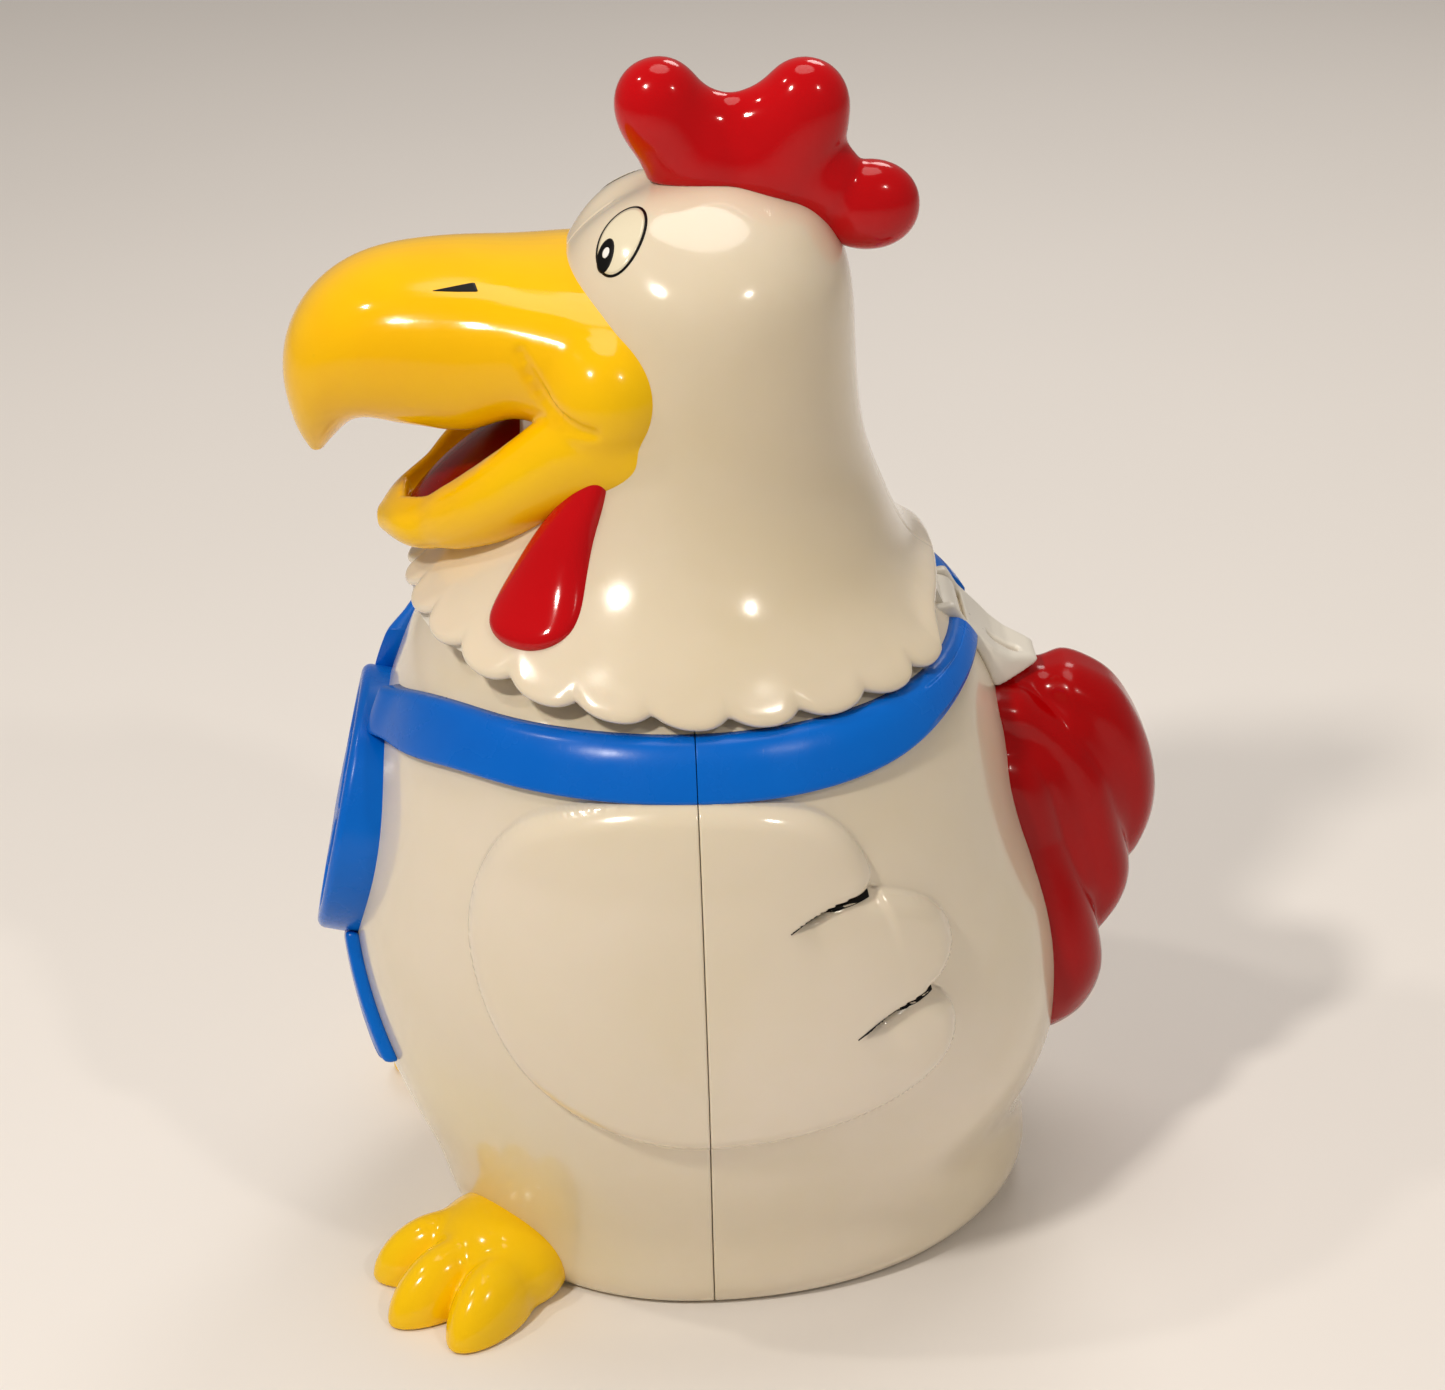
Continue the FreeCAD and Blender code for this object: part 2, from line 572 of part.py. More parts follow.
LOWER = [(-10, 214.0, 41.0, 9.0, 0), (-24, 211.0, 38.0, 11.0, 16), (-38, 204.5, 33.0, 11.5, 30),
         (-51, 197.5, 27.0, 10.5, 33), (-62, 192.0, 20.0, 8.2, 28), (-69.6, 190.0, 12.5, 5.2, 20),
         (-74.0, 189.4, 3.5, 2.0, 10)]
lower = Part.makeLoft([station(*st) for st in LOWER], True, False)
SCOOP = [(-22, 219.0, 30.0, 7.5, 16), (-38, 213.0, 25.0, 8.6, 30), (-51, 205.5, 20.0, 7.6, 33),
         (-61, 199.5, 13.0, 5.4, 28), (-66.5, 196.6, 6.0, 3.2, 20)]
scoop = Part.makeLoft([station(*st) for st in SCOOP], True, False)
lower = lower.cut(scoop).cut(HEAD_OUT).cut(upper).cut(body_solid(0.6, 100, 167))
lower = max(lower.Solids, key=lambda s: s.Volume)
shaped("BeakLower", lower, "beak_lower")
tongue = ellipsoid(0, -47, 203.5, 15.0, 24.0, 5.2, tilt=33, poles="z").cut(HEAD_OUT).cut(lower).cut(upper)
tongue = max(tongue.Solids, key=lambda s: s.Volume)
shaped("Tongue", tongue, "tongue")

LOBES = [(0, -0.8, 287.0, 9.6, 11.4, 13.4), (0, 30.4, 285.4, 9.6, 11.6, 13.6), (0, 15.0, 274.5, 8.8, 24.0, 18.5),
         (0, 36.5, 268.5, 8.2, 9.5, 11.0), (0, 46.2, 263.6, 8.6, 12.2, 10.6)]
lobes = [ellipsoid(*c, poles="y").cut(HEAD_OUT) for c in LOBES]
comb = lobes[0].fuse(lobes[1:])
comb = max(comb.Solids, key=lambda s: s.Volume)
shaped("Comb", comb, "comb")


def wattle(side):
    rows = [(37.5, -17.5, 218.0, 1.6, 2.6), (38.5, -22.0, 209.0, 5.0, 4.6), (39.5, -27.0, 200.0, 7.8, 6.0),
            (42.5, -31.0, 191.0, 10.6, 7.0), (47.0, -34.5, 184.0, 12.2, 7.2), (50.0, -37.0, 179.0, 9.0, 6.2),
            (51.5, -38.0, 175.6, 2.0, 2.0)]
    wires = []
    for x, y, z, along, deep in rows:
        pts = []
        # the drop lies against the head; along runs on the surface, deep runs off it
        nx, ny = 0.78, -0.62
        for k in range(14):
            a = 2 * math.pi * k / 14
            u, v = along * math.cos(a), deep * math.sin(a)
            pts.append(Vector(side * (x - ny * u + nx * v), y + SEAM + nx * u + ny * v, z))
        bs = Part.BSplineCurve()
        bs.interpolate(pts, True)
        wires.append(Part.Wire([bs.toShape()]))
    w = Part.makeLoft(wires, True, False).cut(head_solid(0.15)).cut(lower).cut(upper)
    return max(w.Solids, key=lambda s: s.Volume)


shaped("WattleLeft", wattle(1), "wattle_left")
shaped("WattleRight", wattle(-1), "wattle_right")

# ---------------------------------------------------------------- hinge
pr, gap = S["pin_radius"], S["run_gap"]
pin = node(cyl("HingePin", pr, S["pin_length"], S["pin_length"] * -0.5, S["pivot_y"], S["pivot_z"], RY), "hinge_pin")

# knuckle and the arm that carries the head's floor pan
kn = cyl("Knuckle", S["knuckle_radius"], S["knuckle_width"], S["knuckle_width"] * -0.5, S["pivot_y"], S["pivot_z"], RY)
arm = doc.addObject("PartDesign::Body", "ArmBody")
armsk = poly_sketch(arm, "ArmProfile", "YZ_Plane", [
    (S["pivot_y"] - 4.4, S["pivot_z"] - 1.0), (S["pivot_y"] + 1.6, S["pivot_z"] + 1.0),
    (S["pivot_y"] - 3.6, 172.6), (28.0, 172.6), (28.0, 171.0), (43.2, 171.0), (45.3, 168.2)])
armpad = arm.newObject("PartDesign::Pad", "ArmPad")
armpad.Profile = armsk
bind(armpad, Length=S["knuckle_width"])
doc.recompute()
at(arm, S["knuckle_width"] * -0.5, 0, 0)
armf = fuse("ArmFuse", [kn, arm])
bore = cyl("KnuckleBore", pr + gap, 60, -30, S["pivot_y"], S["pivot_z"], RY)
holes = [cyl("ArmHole%d" % i, 1.65, 20, sx, 48 + SEAM, 160) for i, sx in enumerate((-6, 6))]
armc = cut("HingeArm", armf, fuse("ArmTools", [bore] + holes))
node(armc, "head_hinge_arm")

# bracket: two ears on the pin joined by a sloping saddle over the rump
br = doc.addObject("PartDesign::Body", "BracketBody")
ear = [(S["pivot_y"] - 5.0, 153.6), (S["pivot_y"] - 5.0, S["pivot_z"] + 1.4), (S["pivot_y"] - 3.0, S["pivot_z"] + 4.8),
       (S["pivot_y"] + 2.4, S["pivot_z"] + 5.8), (S["pivot_y"] + 5.4, S["pivot_z"] + 0.6), (65.6, 151.8),
       (69.2, 149.4), (75.0, 147.4), (78.0, 145.6), (76.6, 143.6), (67.0, 141.6), (61.6, 142.6), (58.6, 147.0),
       (57.0, 153.6)]
brsk = poly_sketch(br, "BracketProfile", "YZ_Plane", ear, [(S["pivot_y"], S["pivot_z"], pr + 0.02)])
brpad = br.newObject("PartDesign::Pad", "BracketPad")
brpad.Profile = brsk
brpad.Length = 26.0
doc.recompute()
at(br, -13.0, 0, 0)
# room for the knuckle and arm between the ears, and a slot through the saddle
room = box("BracketRoom", S["knuckle_width"] + 0.8, 30, 24, 0, 43.2, 153.0)
slot = box("BracketSlot", 3.0, 8.0, 30.0, 4.0, 67.6, 138.0)
bracket = cut("BracketCut", br, fuse("BracketTools", [room, slot]))
bcut = shaped("RumpForm", body_solid(0.0, 100.0, 167.0).cut(slab(-13.5, 13.5, 55.5, 80, 153.4, 180)).fuse(tail))
bracket2 = cut("Bracket", bracket, bcut)
doc.recompute()

# ---------------------------------------------------------------- mouth collar and inner jar
mr, jr, jw, ct = S["mouth_radius"], S["jar_radius"], S["jar_wall"], S["collar_top"]
revolved("mouth_collar", [(jr + 0.4, 158), (mr - 0.3, 158), (mr - 0.3, S["body_top"]), (mr + 2.5, S["body_top"]),
                          (mr + 2.5, ct), (jr + 0.4, ct)], 0, S["mouth_y"], 0)
revolved("inner_jar", [(0, S["jar_floor"]), (jr, S["jar_floor"]), (jr, ct), (mr, ct), (mr, ct + 1.6),
                       (jr - jw, ct + 1.6), (jr - jw, S["jar_floor"] + jw), (0, S["jar_floor"] + jw)],
         0, S["mouth_y"], 0)

# ---------------------------------------------------------------- base cover and battery bay
cover = body_solid(-WALL - 0.25, -1.0, 20.0).common(slab(-150, 150, -200, 200, 0, size("cover_thick")))
BAY_Y = 24.0
dl, dw = size("door_length"), size("door_width")
cover = cover.cut(slab(-dl / 2, dl / 2, BAY_Y - dw / 2 - SEAM, BAY_Y + dw / 2 - SEAM, -5, 10))
SPY = size("speaker_y") - SEAM
for ring, count in ((0, 1), (7, 6), (14, 12)):
    for k in range(count):
        a = 2 * math.pi * k / count
        cover = cover.cut(tube(ring * math.sin(a), SPY + ring * math.cos(a), -5, 1.3, 12, Vector(0, 0, 1)))
for sx, sy in COVER_SCREWS:
    cover = cover.cut(tube(sx, sy, -5, 1.65, 12, Vector(0, 0, 1)))
    cover = cover.cut(tube(sx, sy, -5, 3.1, 6.3, Vector(0, 0, 1)))
cover = cover.cut(slab(40, 48, -8, -3.6, -5, 10))
shaped("BaseCover", cover, "base_cover")

# ribbed posts between the cover and the wall that its screws bite into
inside = body_solid(-WALL - 0.15, 0.5, 40.0)
posts = []
for sx, sy in COVER_SCREWS:
    post = tube(sx, sy, size("cover_thick") + 0.1, 3.6, 9.6, Vector(0, 0, 1))
    rib = slab(*sorted((sx, math.copysign(90.0, sx))), sy - 1.2, sy + 1.2, size("cover_thick") + 0.1, 12.0)
    posts.append(post.fuse(rib).common(inside).cut(tube(sx, sy, 0, 1.65, 12.0, Vector(0, 0, 1))))
shaped("CoverPosts", Part.makeCompound([max(q.Solids, key=lambda c: c.Volume) for q in posts]), "cover_posts")


def screws(label, places, shank, total, direction, head_h=1.2):
    """Group of round-head screws: head at the given point, shank running along direction."""
    rot = {"z": Rotation(), "-z": Rotation(Vector(1, 0, 0), 180), "-y": RX, "y": RXB}[direction]
    out = []
    for i, (x, y, z) in enumerate(places):
        hd = cyl("%s_head%d" % (label, i), S["screw_head"], head_h, x, y, z, rot)
        sk = cyl("%s_shank%d" % (label, i), shank, total, x, y, z, rot)
        cross = box("%s_slot%d" % (label, i), 3.6, 0.8, 0.6, 0, 0, -0.01)
        base = Placement(Vector(x, y, z), rot)
        cross.Placement = base.multiply(Placement(Vector(-1.8, -0.4, -0.01), Rotation()))
        out.append(cut("%s_one%d" % (label, i), fuse("%s_body%d" % (label, i), [hd, sk]), cross))
    return node(fuse(label + "_group", out), label)


screws("base_cover_screws", [(sx, sy + SEAM, 0.05) for sx, sy in COVER_SCREWS], S["screw_radius"], 9.0, "z")

# tray for three AA cells, open downwards
tray = doc.addObject("PartDesign::Body", "battery_tray")
tsk = poly_sketch(tray, "TrayOutline", "XY_Plane", rect(S["door_length"] - 0.6, S["door_width"] - 0.6))
tp = tray.newObject("PartDesign::Pad", "TrayPad")
tp.Profile = tsk
tp.Length = 18.0
doc.recompute()
psk = poly_sketch(tray, "TrayWell", "XY_Plane", rect(S["door_length"] - 4.2, S["door_width"] - 4.2))
pk = tray.newObject("PartDesign::Pocket", "TrayPocket")
pk.Profile = psk
pk.Length = 16.2
pk.Reversed = True
doc.recompute()
at(tray, 0, BAY_Y, 3.2)
node(tray, "battery_tray")

cells = []
for i in (-1, 0, 1):
    c = cyl("Cell%d" % (i + 1), S["cell_radius"], S["cell_length"], S["cell_length"] * -0.5, BAY_Y + i * 15.0, 11.4, RY)
    nub = cyl("CellNub%d" % (i + 1), 2.7, 1.3, S["cell_length"] * 0.5, BAY_Y + i * 15.0, 11.4, RY)
    cells.append(fuse("CellBody%d" % (i + 1), [c, nub]))
node(fuse("Cells", cells), "battery_cells")
plates = []
for i, (px, py, w) in enumerate(((-27.2, BAY_Y, 42.0), (27.2, BAY_Y, 42.0))):
    plates.append(box("Contact%d" % i, 0.8, w, 12.0, px, py, 5.4))
node(fuse("Contacts", plates), "battery_contacts")

# lift-off door with a screw hole and a finger recess
door = doc.addObject("PartDesign::Body", "DoorBody")
dsk = poly_sketch(door, "DoorOutline", "XY_Plane", rect(S["door_length"] - 0.8, S["door_width"] - 0.8), [(0, 21.0, 1.75)])
dp = door.newObject("PartDesign::Pad", "DoorPad")
dp.Profile = dsk
dp.Length = 2.2
doc.recompute()
rsk = poly_sketch(door, "DoorRecess", "XY_Plane", rect(18, 7, 0, -19))
rp = door.newObject("PartDesign::Pocket", "DoorPocket")
rp.Profile = rsk
rp.Length = 1.0
rp.Reversed = True
doc.recompute()
at(door, 0, BAY_Y, 0.15)
seat = cyl("DoorScrewSeat", S["screw_head"] + 0.25, 1.1, 0, BAY_Y + 21.0, 0.1)
node(cut("DoorCut", door, seat), "battery_door")
screws("battery_door_screw", [(0, BAY_Y + 21.0, 0.2)], S["screw_radius"], 2.0, "z", 0.0 + 0.9)

# ---------------------------------------------------------------- sound unit
revolved("speaker", [(0, 5.6), (8, 5.6), (22, 3.4), (S["speaker_radius"], 3.4), (S["speaker_radius"], 5.6),
                     (23, 5.8), (12, 11.0), (12, 19.0), (0, 19.0)], 0, S["speaker_y"], 0)
revolved("speaker_clamp", [(S["speaker_radius"] + 0.3, 2.55), (S["speaker_radius"] + 3.5, 2.55),
                           (S["speaker_radius"] + 3.5, 7.6), (S["speaker_radius"] - 2.0, 7.6),
                           (S["speaker_radius"] - 2.0, 5.9), (S["speaker_radius"] + 0.3, 5.9)],
         0, S["speaker_y"], 0)
padded("sound_board", rect(S["board_length"], S["board_width"]), S["board_thick"],
       [(-20, 12, 1.6), (20, 12, 1.6), (-20, -12, 1.6), (20, -12, 1.6)], x=0, y=-2.0 + 26.0, z=24.0)
chip = fuse("BoardParts", [
    box("Chip", 12, 9, 2.4, -6, 24, 25.65), box("Cap", 6, 6, 8, 12, 27, 25.65), box("Plug", 9, 5, 5, 10, 16, 25.65)])
node(chip, "board_components")
posts = [fuse("Post%d" % i, [cyl("PostTube%d" % i, 2.8, 2.7, x, y, 21.25)])
         for i, (x, y) in enumerate(((-20, 36), (20, 36), (-20, 12), (20, 12)))]
node(fuse("Standoffs", posts), "board_standoffs")

# lid switch under the body top: housing, spring and plunger
hx, hy = S["plunger_x"], S["plunger_y"]
house = fuse("SwitchBody", [cyl("SwitchBarrel", 5.0, 16.2, hx, hy, 147.2), cyl("SwitchNeck", 3.8, 1.0, hx, hy, 163.2)])
hbore = cyl("SwitchBore", S["plunger_radius"] + 0.4, 14.0, hx, hy, 151.2)
wide = cyl("SwitchWell", 4.1, 9.0, hx, hy, 150.2)
node(cut("SwitchHousing", house, fuse("SwitchTools", [hbore, wide])), "lid_switch_housing")
pl = fuse("PlungerBody", [cyl("PlungerStem", S["plunger_radius"], 17.0, hx, hy, 155.2),
                          cyl("PlungerFlange", 3.75, 1.2, hx, hy, 154.4)])
node(pl, "switch_plunger")
wire_r, coil_r, pitch = 0.28, 3.2, 0.95
turns = [2 * math.pi * i / 16 for i in range(61)]
coil = Part.BSplineCurve()
coil.interpolate([Vector(coil_r * math.cos(a), coil_r * math.sin(a), pitch * a / (2 * math.pi)) for a in turns])
prof = Part.Wire([Part.Circle(Vector(coil_r, 0, 0), coil.tangent(coil.FirstParameter)[0], wire_r).toShape()])
spring = Part.Wire([coil.toShape()]).makePipeShell([prof], True, True)
spring.Placement = Placement(Vector(size("plunger_x"), size("plunger_y"), 150.52), Rotation())
shaped("Spring", spring, "switch_spring")

# power slide switch behind the base cover
sw = box("PowerBox", 14.0, 8.0, 6.0, 44, -5.8 + SEAM, 3.2)
swc = box("PowerSlot", 9.4, 5.2, 4.0, 44, -5.8 + SEAM, 2.6)
node(cut("PowerBody", sw, swc), "power_switch_body")
kb = fuse("Knob", [box("KnobTip", 3.2, 3.6, 3.4, 42.3, -5.8 + SEAM, 0.3),
                   box("KnobFoot", 4.4, 4.4, 1.6, 42.3, -5.8 + SEAM, 3.5)])
node(kb, "power_switch_knob")

# ---------------------------------------------------------------- remaining fasteners
places = []
for sx in (-1, 1):
    for bx, bz in ((72.0, 58.0), (68.0, 140.0)):
        places.append((sx * bx, -13.4 + SEAM, bz))
screws("shell_screws", places, S["screw_radius"], 20.0, "y")
screws("foot_screws", [(sx * 46, -45.8 + SEAM, 9.5) for sx in (-1, 1)], S["screw_radius"], 20.0, "-y")
screws("tail_screws", [(0, 88.4 + SEAM - (0 if tz < 100 else 8.2), tz) for tz in (72.0, 108.0)],
       S["screw_radius"], 12.0, "y")
screws("head_pan_screws", [(sx, sy + SEAM, 171.35) for sx, sy in SCREW_AT], S["screw_radius"], 9.0, "z")
screws("hinge_arm_screws", [(sx, 48 + SEAM, 176.25) for sx in (-6, 6)], S["screw_radius"], 5.2, "-z")
node(bracket2, "hinge_bracket")

doc.recompute()

# ---------------------------------------------------------------- checks and export
bad = [o.Name for o in doc.Objects if "Invalid" in o.State or "Error" in o.State]
if bad:
    raise SystemExit("features in error: %s" % bad)
labels = [o.Label for o in NODES]
if len(set(labels)) != len(labels):
    raise SystemExit("repeated label")
for o in NODES:
    sh = o.Shape
    if sh.isNull() or not sh.isValid() or not sh.Solids or sh.Volume <= 0:
        raise SystemExit("bad shape: %s null %s valid %s" % (o.Label, sh.isNull(), sh.isValid()))
os.makedirs("parts", exist_ok=True)
for o in NODES:
    o.Shape.exportStep("parts/%s.step" % o.Label)
    b = o.Shape.optimalBoundingBox(True, False)
    print("%-22s solids %2d vol %9.0f  x %7.1f %7.1f y %7.1f %7.1f z %7.1f %7.1f" % (
        o.Label, len(o.Shape.Solids), o.Shape.Volume, b.XMin, b.XMax, b.YMin, b.YMax, b.ZMin, b.ZMax))
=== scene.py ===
"""Hinged-lid chicken jar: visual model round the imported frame. Lengths below are in millimetres unless said."""

import bpy, bmesh, json, math
import numpy as np
import openvdb as vdb
from mathutils import Vector, Matrix
from mathutils.bvhtree import BVHTree


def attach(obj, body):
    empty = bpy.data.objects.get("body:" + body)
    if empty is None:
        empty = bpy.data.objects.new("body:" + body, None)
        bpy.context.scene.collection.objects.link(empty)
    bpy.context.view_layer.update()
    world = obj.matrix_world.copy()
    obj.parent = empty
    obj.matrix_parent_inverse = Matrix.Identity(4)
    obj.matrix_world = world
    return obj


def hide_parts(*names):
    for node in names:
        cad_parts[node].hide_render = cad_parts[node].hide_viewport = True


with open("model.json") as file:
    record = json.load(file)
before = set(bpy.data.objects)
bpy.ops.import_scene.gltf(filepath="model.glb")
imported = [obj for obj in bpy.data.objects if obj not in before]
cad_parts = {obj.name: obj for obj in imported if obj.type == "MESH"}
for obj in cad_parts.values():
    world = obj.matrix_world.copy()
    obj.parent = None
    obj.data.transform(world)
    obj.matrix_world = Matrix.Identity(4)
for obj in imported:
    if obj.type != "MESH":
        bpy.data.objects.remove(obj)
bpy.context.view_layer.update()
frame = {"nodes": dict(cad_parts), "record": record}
NODES = frame["nodes"]
SEAM = -10.8
PI = math.pi


# ------------------------------------------------------------------ mesh helpers
def make(name, pts, quads=None, tris=None, ngons=None, smooth=True):
    """Object from points in millimetres and index arrays."""
    pts = np.ascontiguousarray(pts, np.float32) * 0.001
    q = np.zeros((0, 4), np.int32) if quads is None else np.asarray(quads, np.int32).reshape(-1, 4)
    t = np.zeros((0, 3), np.int32) if tris is None else np.asarray(tris, np.int32).reshape(-1, 3)
    ngons = ngons or []
    flat = [q.ravel(), t.ravel()] + [np.asarray(n, np.int32) for n in ngons]
    totals = np.concatenate([np.full(len(q), 4), np.full(len(t), 3), np.array([len(n) for n in ngons], int)]).astype(np.int32)
    starts = np.concatenate([[0], np.cumsum(totals)[:-1]]).astype(np.int32)
    loops = np.concatenate(flat).astype(np.int32)
    me = bpy.data.meshes.new(name)
    me.vertices.add(len(pts))
    me.vertices.foreach_set("co", pts.ravel())
    me.loops.add(len(loops))
    me.loops.foreach_set("vertex_index", loops)
    me.polygons.add(len(totals))
    me.polygons.foreach_set("loop_start", starts)
    me.polygons.foreach_set("loop_total", totals)
    me.polygons.foreach_set("use_smooth", np.full(len(totals), smooth))
    me.update(calc_edges=True)
    me.validate()
    ob = bpy.data.objects.new(name, me)
    bpy.context.scene.collection.objects.link(ob)
    return ob


def outward(ob, triangulate=False):
    """Faces point outwards; n-gons are cut up."""
    bm = bmesh.new()
    bm.from_mesh(ob.data)
    bmesh.ops.remove_doubles(bm, verts=bm.verts, dist=1e-7)
    big = [f for f in bm.faces if len(f.verts) > 4]
    if big:
        bmesh.ops.triangulate(bm, faces=big)
    bmesh.ops.recalc_face_normals(bm, faces=bm.faces)
    bm.to_mesh(ob.data)
    bm.free()
    return ob


def grid_faces(nr, nc, wrap_r=False, wrap_c=False):
    """Quads over a grid of nr rows and nc columns, row-major."""
    r = np.arange(nr if wrap_r else nr - 1)
    c = np.arange(nc if wrap_c else nc - 1)
    R, C = np.meshgrid(r, c, indexing="ij")
    R2, C2 = (R + 1) % nr, (C + 1) % nc
    return np.stack([R * nc + C, R * nc + C2, R2 * nc + C2, R2 * nc + C], -1).reshape(-1, 4)


def sharpen(ob, degrees=38.0):
    """Sharp edges over an angle, so flats stay flat beside rounded forms."""
    me = ob.data
    bm = bmesh.new()
    bm.from_mesh(me)
    lim = math.radians(degrees)
    for e in bm.edges:
        if len(e.link_faces) == 2 and e.calc_face_angle(0.0) > lim:
            e.smooth = False
    bm.to_mesh(me)
    bm.free()
    return ob


def cubic(t, v):
    """Natural cubic spline through the rows of v at t."""
    t, v = np.asarray(t, float), np.asarray(v, float)
    flat = v.ndim == 1
    v = v[:, None] if flat else v
    n, h = len(t), np.diff(t)
    A, B = np.eye(n), np.zeros_like(v)
    for i in range(1, n - 1):
        A[i, i - 1], A[i, i], A[i, i + 1] = h[i - 1], 2 * (h[i - 1] + h[i]), h[i]
        B[i] = 6 * ((v[i + 1] - v[i]) / h[i] - (v[i] - v[i - 1]) / h[i - 1])
    m = np.linalg.solve(A, B)

    def f(x):
        x = np.clip(np.asarray(x, float), t[0], t[-1])
        k = np.clip(np.searchsorted(t, x, side="right") - 1, 0, n - 2)
        hk = h[k]
        a, b = ((t[k + 1] - x) / hk)[..., None], ((x - t[k]) / hk)[..., None]
        r = a * v[k] + b * v[k + 1] + ((a**3 - a) * m[k] + (b**3 - b) * m[k + 1]) * (hk**2 / 6)[..., None]
        return r[..., 0] if flat else r

    return f


def smoothstep(a, b, x):
    t = np.clip((np.asarray(x, float) - a) / (b - a), 0, 1)
    return t * t * (3 - 2 * t)


def curve_through(pts, n, closed=False):
    """Smooth polyline through points."""
    p = np.asarray(pts, float)
    if closed:
        p = np.vstack([p[-3:], p, p[:3]])
    d = np.concatenate([[0], np.cumsum(np.linalg.norm(np.diff(p, axis=0), axis=1) ** 0.75)])
    f = cubic(d, p)
    if closed:
        return f(np.linspace(d[3], d[-3], n, endpoint=False))
    return f(np.linspace(0, d[-1], n))


def polygon_distance(P, poly):
    """Signed distance to a closed polygon, positive inside."""
    a, b = poly, np.roll(poly, -1, 0)
    ab = b - a
    L2 = (ab**2).sum(1)
    out = np.empty(len(P))
    for s in range(0, len(P), 12000):
        p = P[s : s + 12000]
        ap = p[:, None, :] - a[None]
        t = np.clip((ap * ab[None]).sum(2) / L2[None], 0, 1)
        d = np.sqrt(((ap - t[..., None] * ab[None]) ** 2).sum(2)).min(1)
        y0, y1 = a[None, :, 1], b[None, :, 1]
        py = p[:, 1:2]
        cond = (y0 > py) != (y1 > py)
        xi = a[None, :, 0] + (py - y0) / np.where(np.abs(y1 - y0) < 1e-12, 1e-12, y1 - y0) * ab[None, :, 0]
        inside = (cond & (p[:, 0:1] < xi)).sum(1) % 2 == 1
        out[s : s + 12000] = np.where(inside, d, -d)
    return out


# ------------------------------------------------------------------ the two big forms
BODY = np.array([
    (0, 0.750, 0.735, 0.830), (4, 0.778, 0.765, 0.880), (11, 0.790, 0.795, 0.908), (20, 0.803, 0.823, 0.894),
    (30, 0.843, 0.863, 0.910), (42, 0.899, 0.914, 0.962), (56, 0.949, 0.960, 0.995), (74, 0.985, 0.994, 1.000),
    (92, 1.000, 1.000, 0.958), (109, 0.994, 0.966, 0.897), (125, 0.977, 0.920, 0.854), (138, 0.944, 0.880, 0.824),
    (149, 0.904, 0.834, 0.783), (157, 0.865, 0.794, 0.736), (163, 0.811, 0.745, 0.680), (167, 0.735, 0.680, 0.610)])
BODY_F = cubic(BODY[:, 0], BODY[:, 1:] * np.array([89.0, 87.5, 94.0]))
HEAD = np.array([
    (160, 75.1, -71.6, 70.3),
    (164.5, 74.5, -71.5, 68.5), (168, 73.5, -71.5, 66.5), (174, 70.0, -68.5, 61.0), (182, 62.5, -61.0, 54.5),
    (192, 54.5, -51.0, 50.0), (204, 48.5, -43.0, 45.8), (216, 45.0, -38.0, 43.8), (230, 42.8, -34.0, 43.0),
    (242, 41.0, -30.5, 42.6), (252, 38.0, -27.5, 41.0), (260, 32.0, -23.0, 37.5), (266, 24.4, -17.0, 32.0),
    (270, 17.0, -10.5, 23.5), (272.3, 8.9, -3.0, 16.5), (273.0, 3.0, 3.0, 10.5), (273.05, 0.0, 6.75, 6.75)])
HEAD_T = np.concatenate([[0], np.cumsum(np.hypot(np.diff(HEAD[:, 0]), np.diff(HEAD[:, 1])))])
HEAD_F = cubic(HEAD_T, HEAD)


def body_radius(phi, z, off=0.0):
    """Radius from the seam axis at direction phi, 0 at the rear and 90 degrees at +X."""
    w, f, r = np.moveaxis(BODY_F(z), -1, 0) + off
    s, c = np.sin(phi), np.cos(phi)
    return ((np.abs(s) / w) ** 2.12 + (np.abs(c) / np.where(c > 0, r, f)) ** 2.12) ** (-1 / 2.12)


def body_point(phi, z, off=0.0):
    R = body_radius(phi, z, off)
    return np.stack([R * np.sin(phi), R * np.cos(phi) + SEAM, z + 0 * R], -1)


def head_ring(phi, t, off=0.0):
    """Point on the head at direction phi about its own centre line and profile place t."""
    q = HEAD_F(t)
    z, w, f, r = q[..., 0], np.maximum(q[..., 1], 0.0) + off, q[..., 2], q[..., 3]
    c, L = 0.5 * (f + r), 0.5 * (r - f) + off
    w, L = np.maximum(w, 1e-4), np.maximum(L, 1e-4)
    s, k = np.sin(phi), np.cos(phi)
    R = ((np.abs(s) / w) ** 2.08 + (np.abs(k) / L) ** 2.08) ** (-1 / 2.08)
    return np.stack([R * s, R * k + c + SEAM, z + 0 * R], -1)


def head_t(z):
    """Profile place for a height, below the crown."""
    ts = np.linspace(0, HEAD_T[-1], 4000)
    zs = HEAD_F(ts)[:, 0]
    zs = np.maximum.accumulate(zs) + np.linspace(0, 1e-6, len(zs))
    return np.interp(z, zs, ts)


# ------------------------------------------------------------------ materials
def lin(r, g, b):
    """Linear colour from 8-bit display values."""
    out = []
    for c in (r, g, b):
        c = c / 255.0
        out.append(c / 12.92 if c <= 0.04045 else ((c + 0.055) / 1.055) ** 2.4)
    return tuple(out) + (1.0,)


